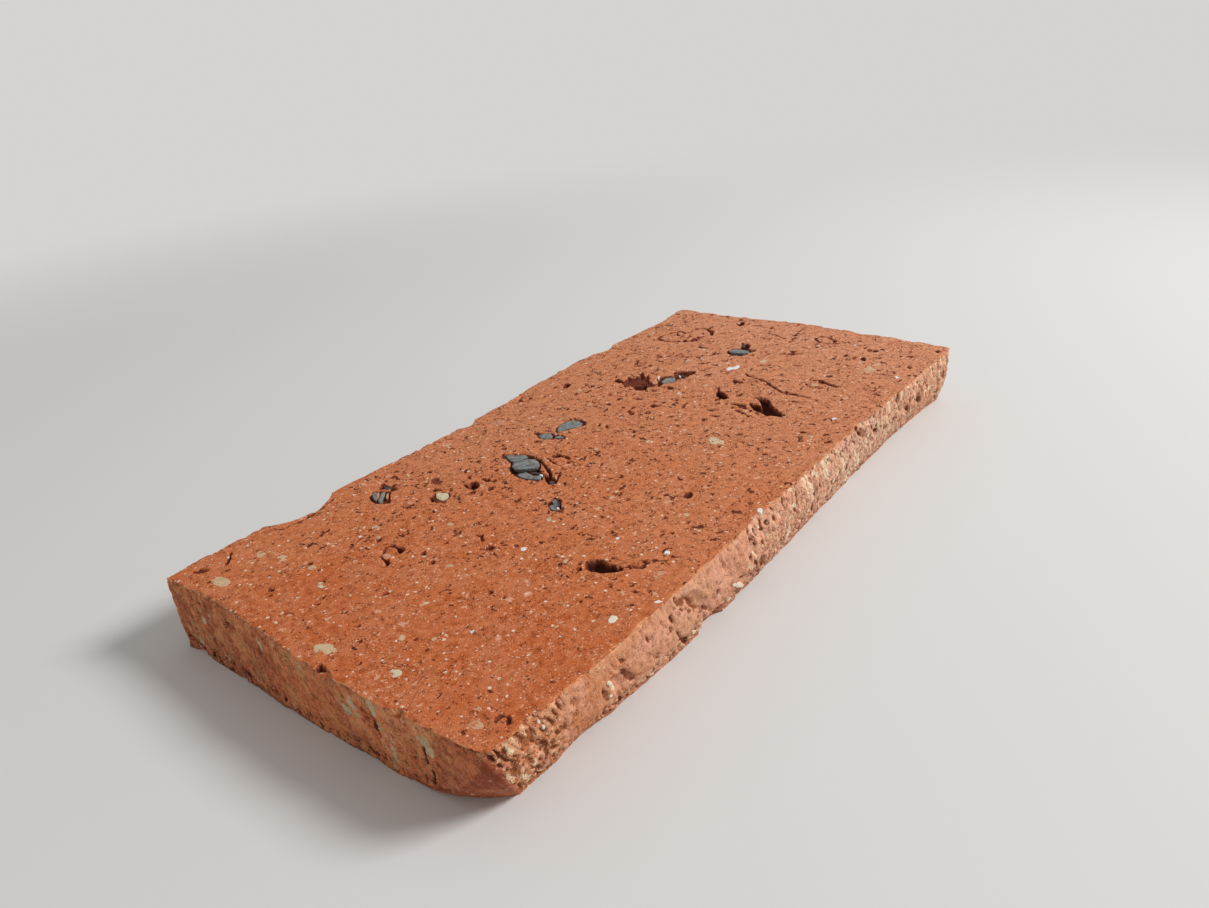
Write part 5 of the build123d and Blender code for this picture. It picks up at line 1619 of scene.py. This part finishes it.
def slateStone():
    # layered blue-grey stone with dark partings, greener where it has weathered
    material, tree, shader, place = newMaterial("slateStone")
    links = tree.links
    turned = addNode(tree, "ShaderNodeVectorRotate", -1400, 0, rotation_type="Z_AXIS")
    links.new(place, turned.inputs["Vector"])
    angle = mathNode(tree, "MULTIPLY", -1500, -200, attributeNode(tree, "tone", -1700, -200), -math.pi)
    links.new(angle, turned.inputs["Angle"])
    beds = stretched(tree, -1200, 0, turned.outputs[0], (5.0, 1.0, 1.0))
    layers = noiseNode(tree, -1000, 0, beds, 1.3, 4.0, 0.6)
    tone = colourRamp(tree, -600, 0, layers, [(0.34, (0.030, 0.031, 0.034)), (0.42, (0.100, 0.101, 0.098)),
                                              (0.6, (0.148, 0.147, 0.140)), (0.74, (0.27, 0.268, 0.255))])
    partings = poreMask(tree, -800, -1100, beds, 1.1, 0.6, 0.04, 0.1, 9.0)
    teal = mapRange(tree, -600, -300, noiseNode(tree, -900, -300, place, 0.28, 3.0), 0.45, 0.62)
    spotX = axesOf(tree, -1200, -400, place)[0]
    farther = mapRange(tree, -600, -450, spotX, -35.0, 40.0, 0.35, 1.0)
    teal = mathNode(tree, "MULTIPLY", -450, -300, teal, farther)
    tone = layered(tree, -300, 0, tone, teal, 0.8, (0.085, 0.20, 0.205))
    cracks = poreMask(tree, -800, -600, place, 1.3, 0.62, 0.03, 0.1, 5.0)
    tone = layered(tree, 0, 0, tone, cracks, 0.9, (0.012, 0.012, 0.016))
    tone = layered(tree, 50, 0, tone, partings, 0.85, (0.014, 0.014, 0.018))
    rust = mapRange(tree, 0, -600, noiseNode(tree, -300, -700, place, 0.5, 3.0), 0.62, 0.72)
    tone = layered(tree, 200, 0, tone, rust, 0.7, (0.36, 0.16, 0.09))
    grain = placeGroup(tree, sandyGrain, -800, -900, place, Size=0.3, Clumps=1.6)
    tone = layered(tree, 400, 0, tone, grain.outputs["Light"], 0.5, (0.40, 0.40, 0.38))
    tone = layered(tree, 450, 0, tone, mapRange(tree, 300, -300, grain.outputs["Light"], 0.35, 0.0), 0.55,
                   (0.045, 0.045, 0.047))
    links.new(tone, shader.inputs["Base Color"])
    sunk = mathNode(tree, "MAXIMUM", 200, -800, cracks, partings)
    height = mathNode(tree, "SUBTRACT", 300, -700, grain.outputs["Height"], sunk)
    links.new(bumpNode(tree, 700, -500, height, 0.9, 0.0004), shader.inputs["Normal"])
    rough = mapRange(tree, 700, -200, layers, 0.3, 0.7, 0.75, 0.5)
    links.new(rough, shader.inputs["Roughness"])
    return material


def paleClay():
    # lumps of lighter clay, from pink to cream
    material, tree, shader, place = newMaterial("paleClay")
    links = tree.links
    tint = attributeNode(tree, "tone", -1200, 400)
    tone = colourRamp(tree, -900, 300, tint, [(0.0, (0.50, 0.20, 0.12)), (0.35, (0.55, 0.30, 0.17)),
                                              (0.65, (0.54, 0.37, 0.20)), (1.0, (0.60, 0.53, 0.36))])
    cloud = mapRange(tree, -700, 0, noiseNode(tree, -900, 0, place, 0.6, 4.0, 0.6), 0.4, 0.66)
    tone = layered(tree, -400, 0, tone, cloud, 0.4, (0.68, 0.50, 0.34))
    grain = placeGroup(tree, sandyGrain, -900, -400, place, Size=0.35, Clumps=1.8)
    edge = attributeNode(tree, "edge", -1200, 550)
    around = placeGroup(tree, sawnClay, -500, 500, place)
    ragged = crisp(tree, -700, 600, edge, noiseNode(tree, -900, 600, place, 1.1, 4.0, 0.7), 1.1, 0.6, 0.8)
    tone = mixColour(tree, -300, 0, ragged, tone, around.outputs["Colour"])
    shade = mapRange(tree, -500, -400, grain.outputs["Light"], 0.4, 0.0)
    tone = layered(tree, -200, 0, tone, shade, 0.45, (0.38, 0.17, 0.09))
    # holes painted dark with the shade in them
    holes = poreMask(tree, -900, -700, place, 1.0, 0.655, 0.03, 0.1, 23.0)
    tone = layered(tree, 0, 0, tone, holes, 0.85, (0.14, 0.05, 0.03))
    links.new(tone, shader.inputs["Base Color"])
    height = mathNode(tree, "SUBTRACT", 300, -700, grain.outputs["Height"], holes)
    links.new(bumpNode(tree, 700, -500, height, 0.8, 0.0003), shader.inputs["Normal"])
    shader.inputs["Roughness"].default_value = 0.9
    shader.inputs["Specular IOR Level"].default_value = 0.25
    return material


def whiteQuartz():
    # milky grains, bluish or cream, with a little gloss
    material, tree, shader, place = newMaterial("whiteQuartz")
    links = tree.links
    tint = attributeNode(tree, "tone", -1200, 400)
    tone = colourRamp(tree, -900, 300, tint, [(0.0, (0.58, 0.66, 0.70)), (0.5, (0.76, 0.79, 0.80)),
                                              (0.9, (0.80, 0.75, 0.66)), (1.0, (0.74, 0.62, 0.45))])
    cloud = mapRange(tree, -700, 0, noiseNode(tree, -900, 0, place, 0.9, 4.0, 0.6), 0.42, 0.7)
    tone = layered(tree, -400, 0, tone, cloud, 0.35, (0.52, 0.47, 0.42))
    grain = placeGroup(tree, sandyGrain, -900, -400, place, Size=0.4, Clumps=1.5)
    links.new(tone, shader.inputs["Base Color"])
    links.new(bumpNode(tree, 700, -500, grain.outputs["Height"], 0.5, 0.0003), shader.inputs["Normal"])
    links.new(mapRange(tree, 700, -200, cloud, 0.0, 1.0, 0.38, 0.65), shader.inputs["Roughness"])
    return material


def ironStone():
    # almost black, rough fragments with rusty faces
    material, tree, shader, place = newMaterial("ironStone")
    links = tree.links
    rust = mapRange(tree, -700, 0, noiseNode(tree, -900, 0, place, 0.8, 4.0, 0.65), 0.44, 0.66)
    tone = mixColour(tree, -400, 0, rust, (0.022, 0.018, 0.020), (0.11, 0.042, 0.032))
    grain = placeGroup(tree, sandyGrain, -900, -400, place, Size=0.4, Clumps=1.5)
    glints = poreMask(tree, -900, -700, place, 0.7, 0.66, 0.03, 0.1, 51.0)
    tone = layered(tree, -100, 0, tone, glints, 0.6, (0.25, 0.27, 0.30))
    links.new(tone, shader.inputs["Base Color"])
    links.new(bumpNode(tree, 700, -500, grain.outputs["Height"], 0.9, 0.0005), shader.inputs["Normal"])
    links.new(mapRange(tree, 700, -200, rust, 0.0, 1.0, 0.45, 0.85), shader.inputs["Roughness"])
    return material


def dress(piece, material):
    piece.data.materials.clear()
    piece.data.materials.append(material)


dress(bodyPiece, firedClay())
dress(slatePiece, slateStone())
dress(lumpPiece, paleClay())
dress(quartzPiece, whiteQuartz())
dress(ironPiece, ironStone())
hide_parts("clay_brick")
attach(bodyPiece, "root")
print("materials finished")
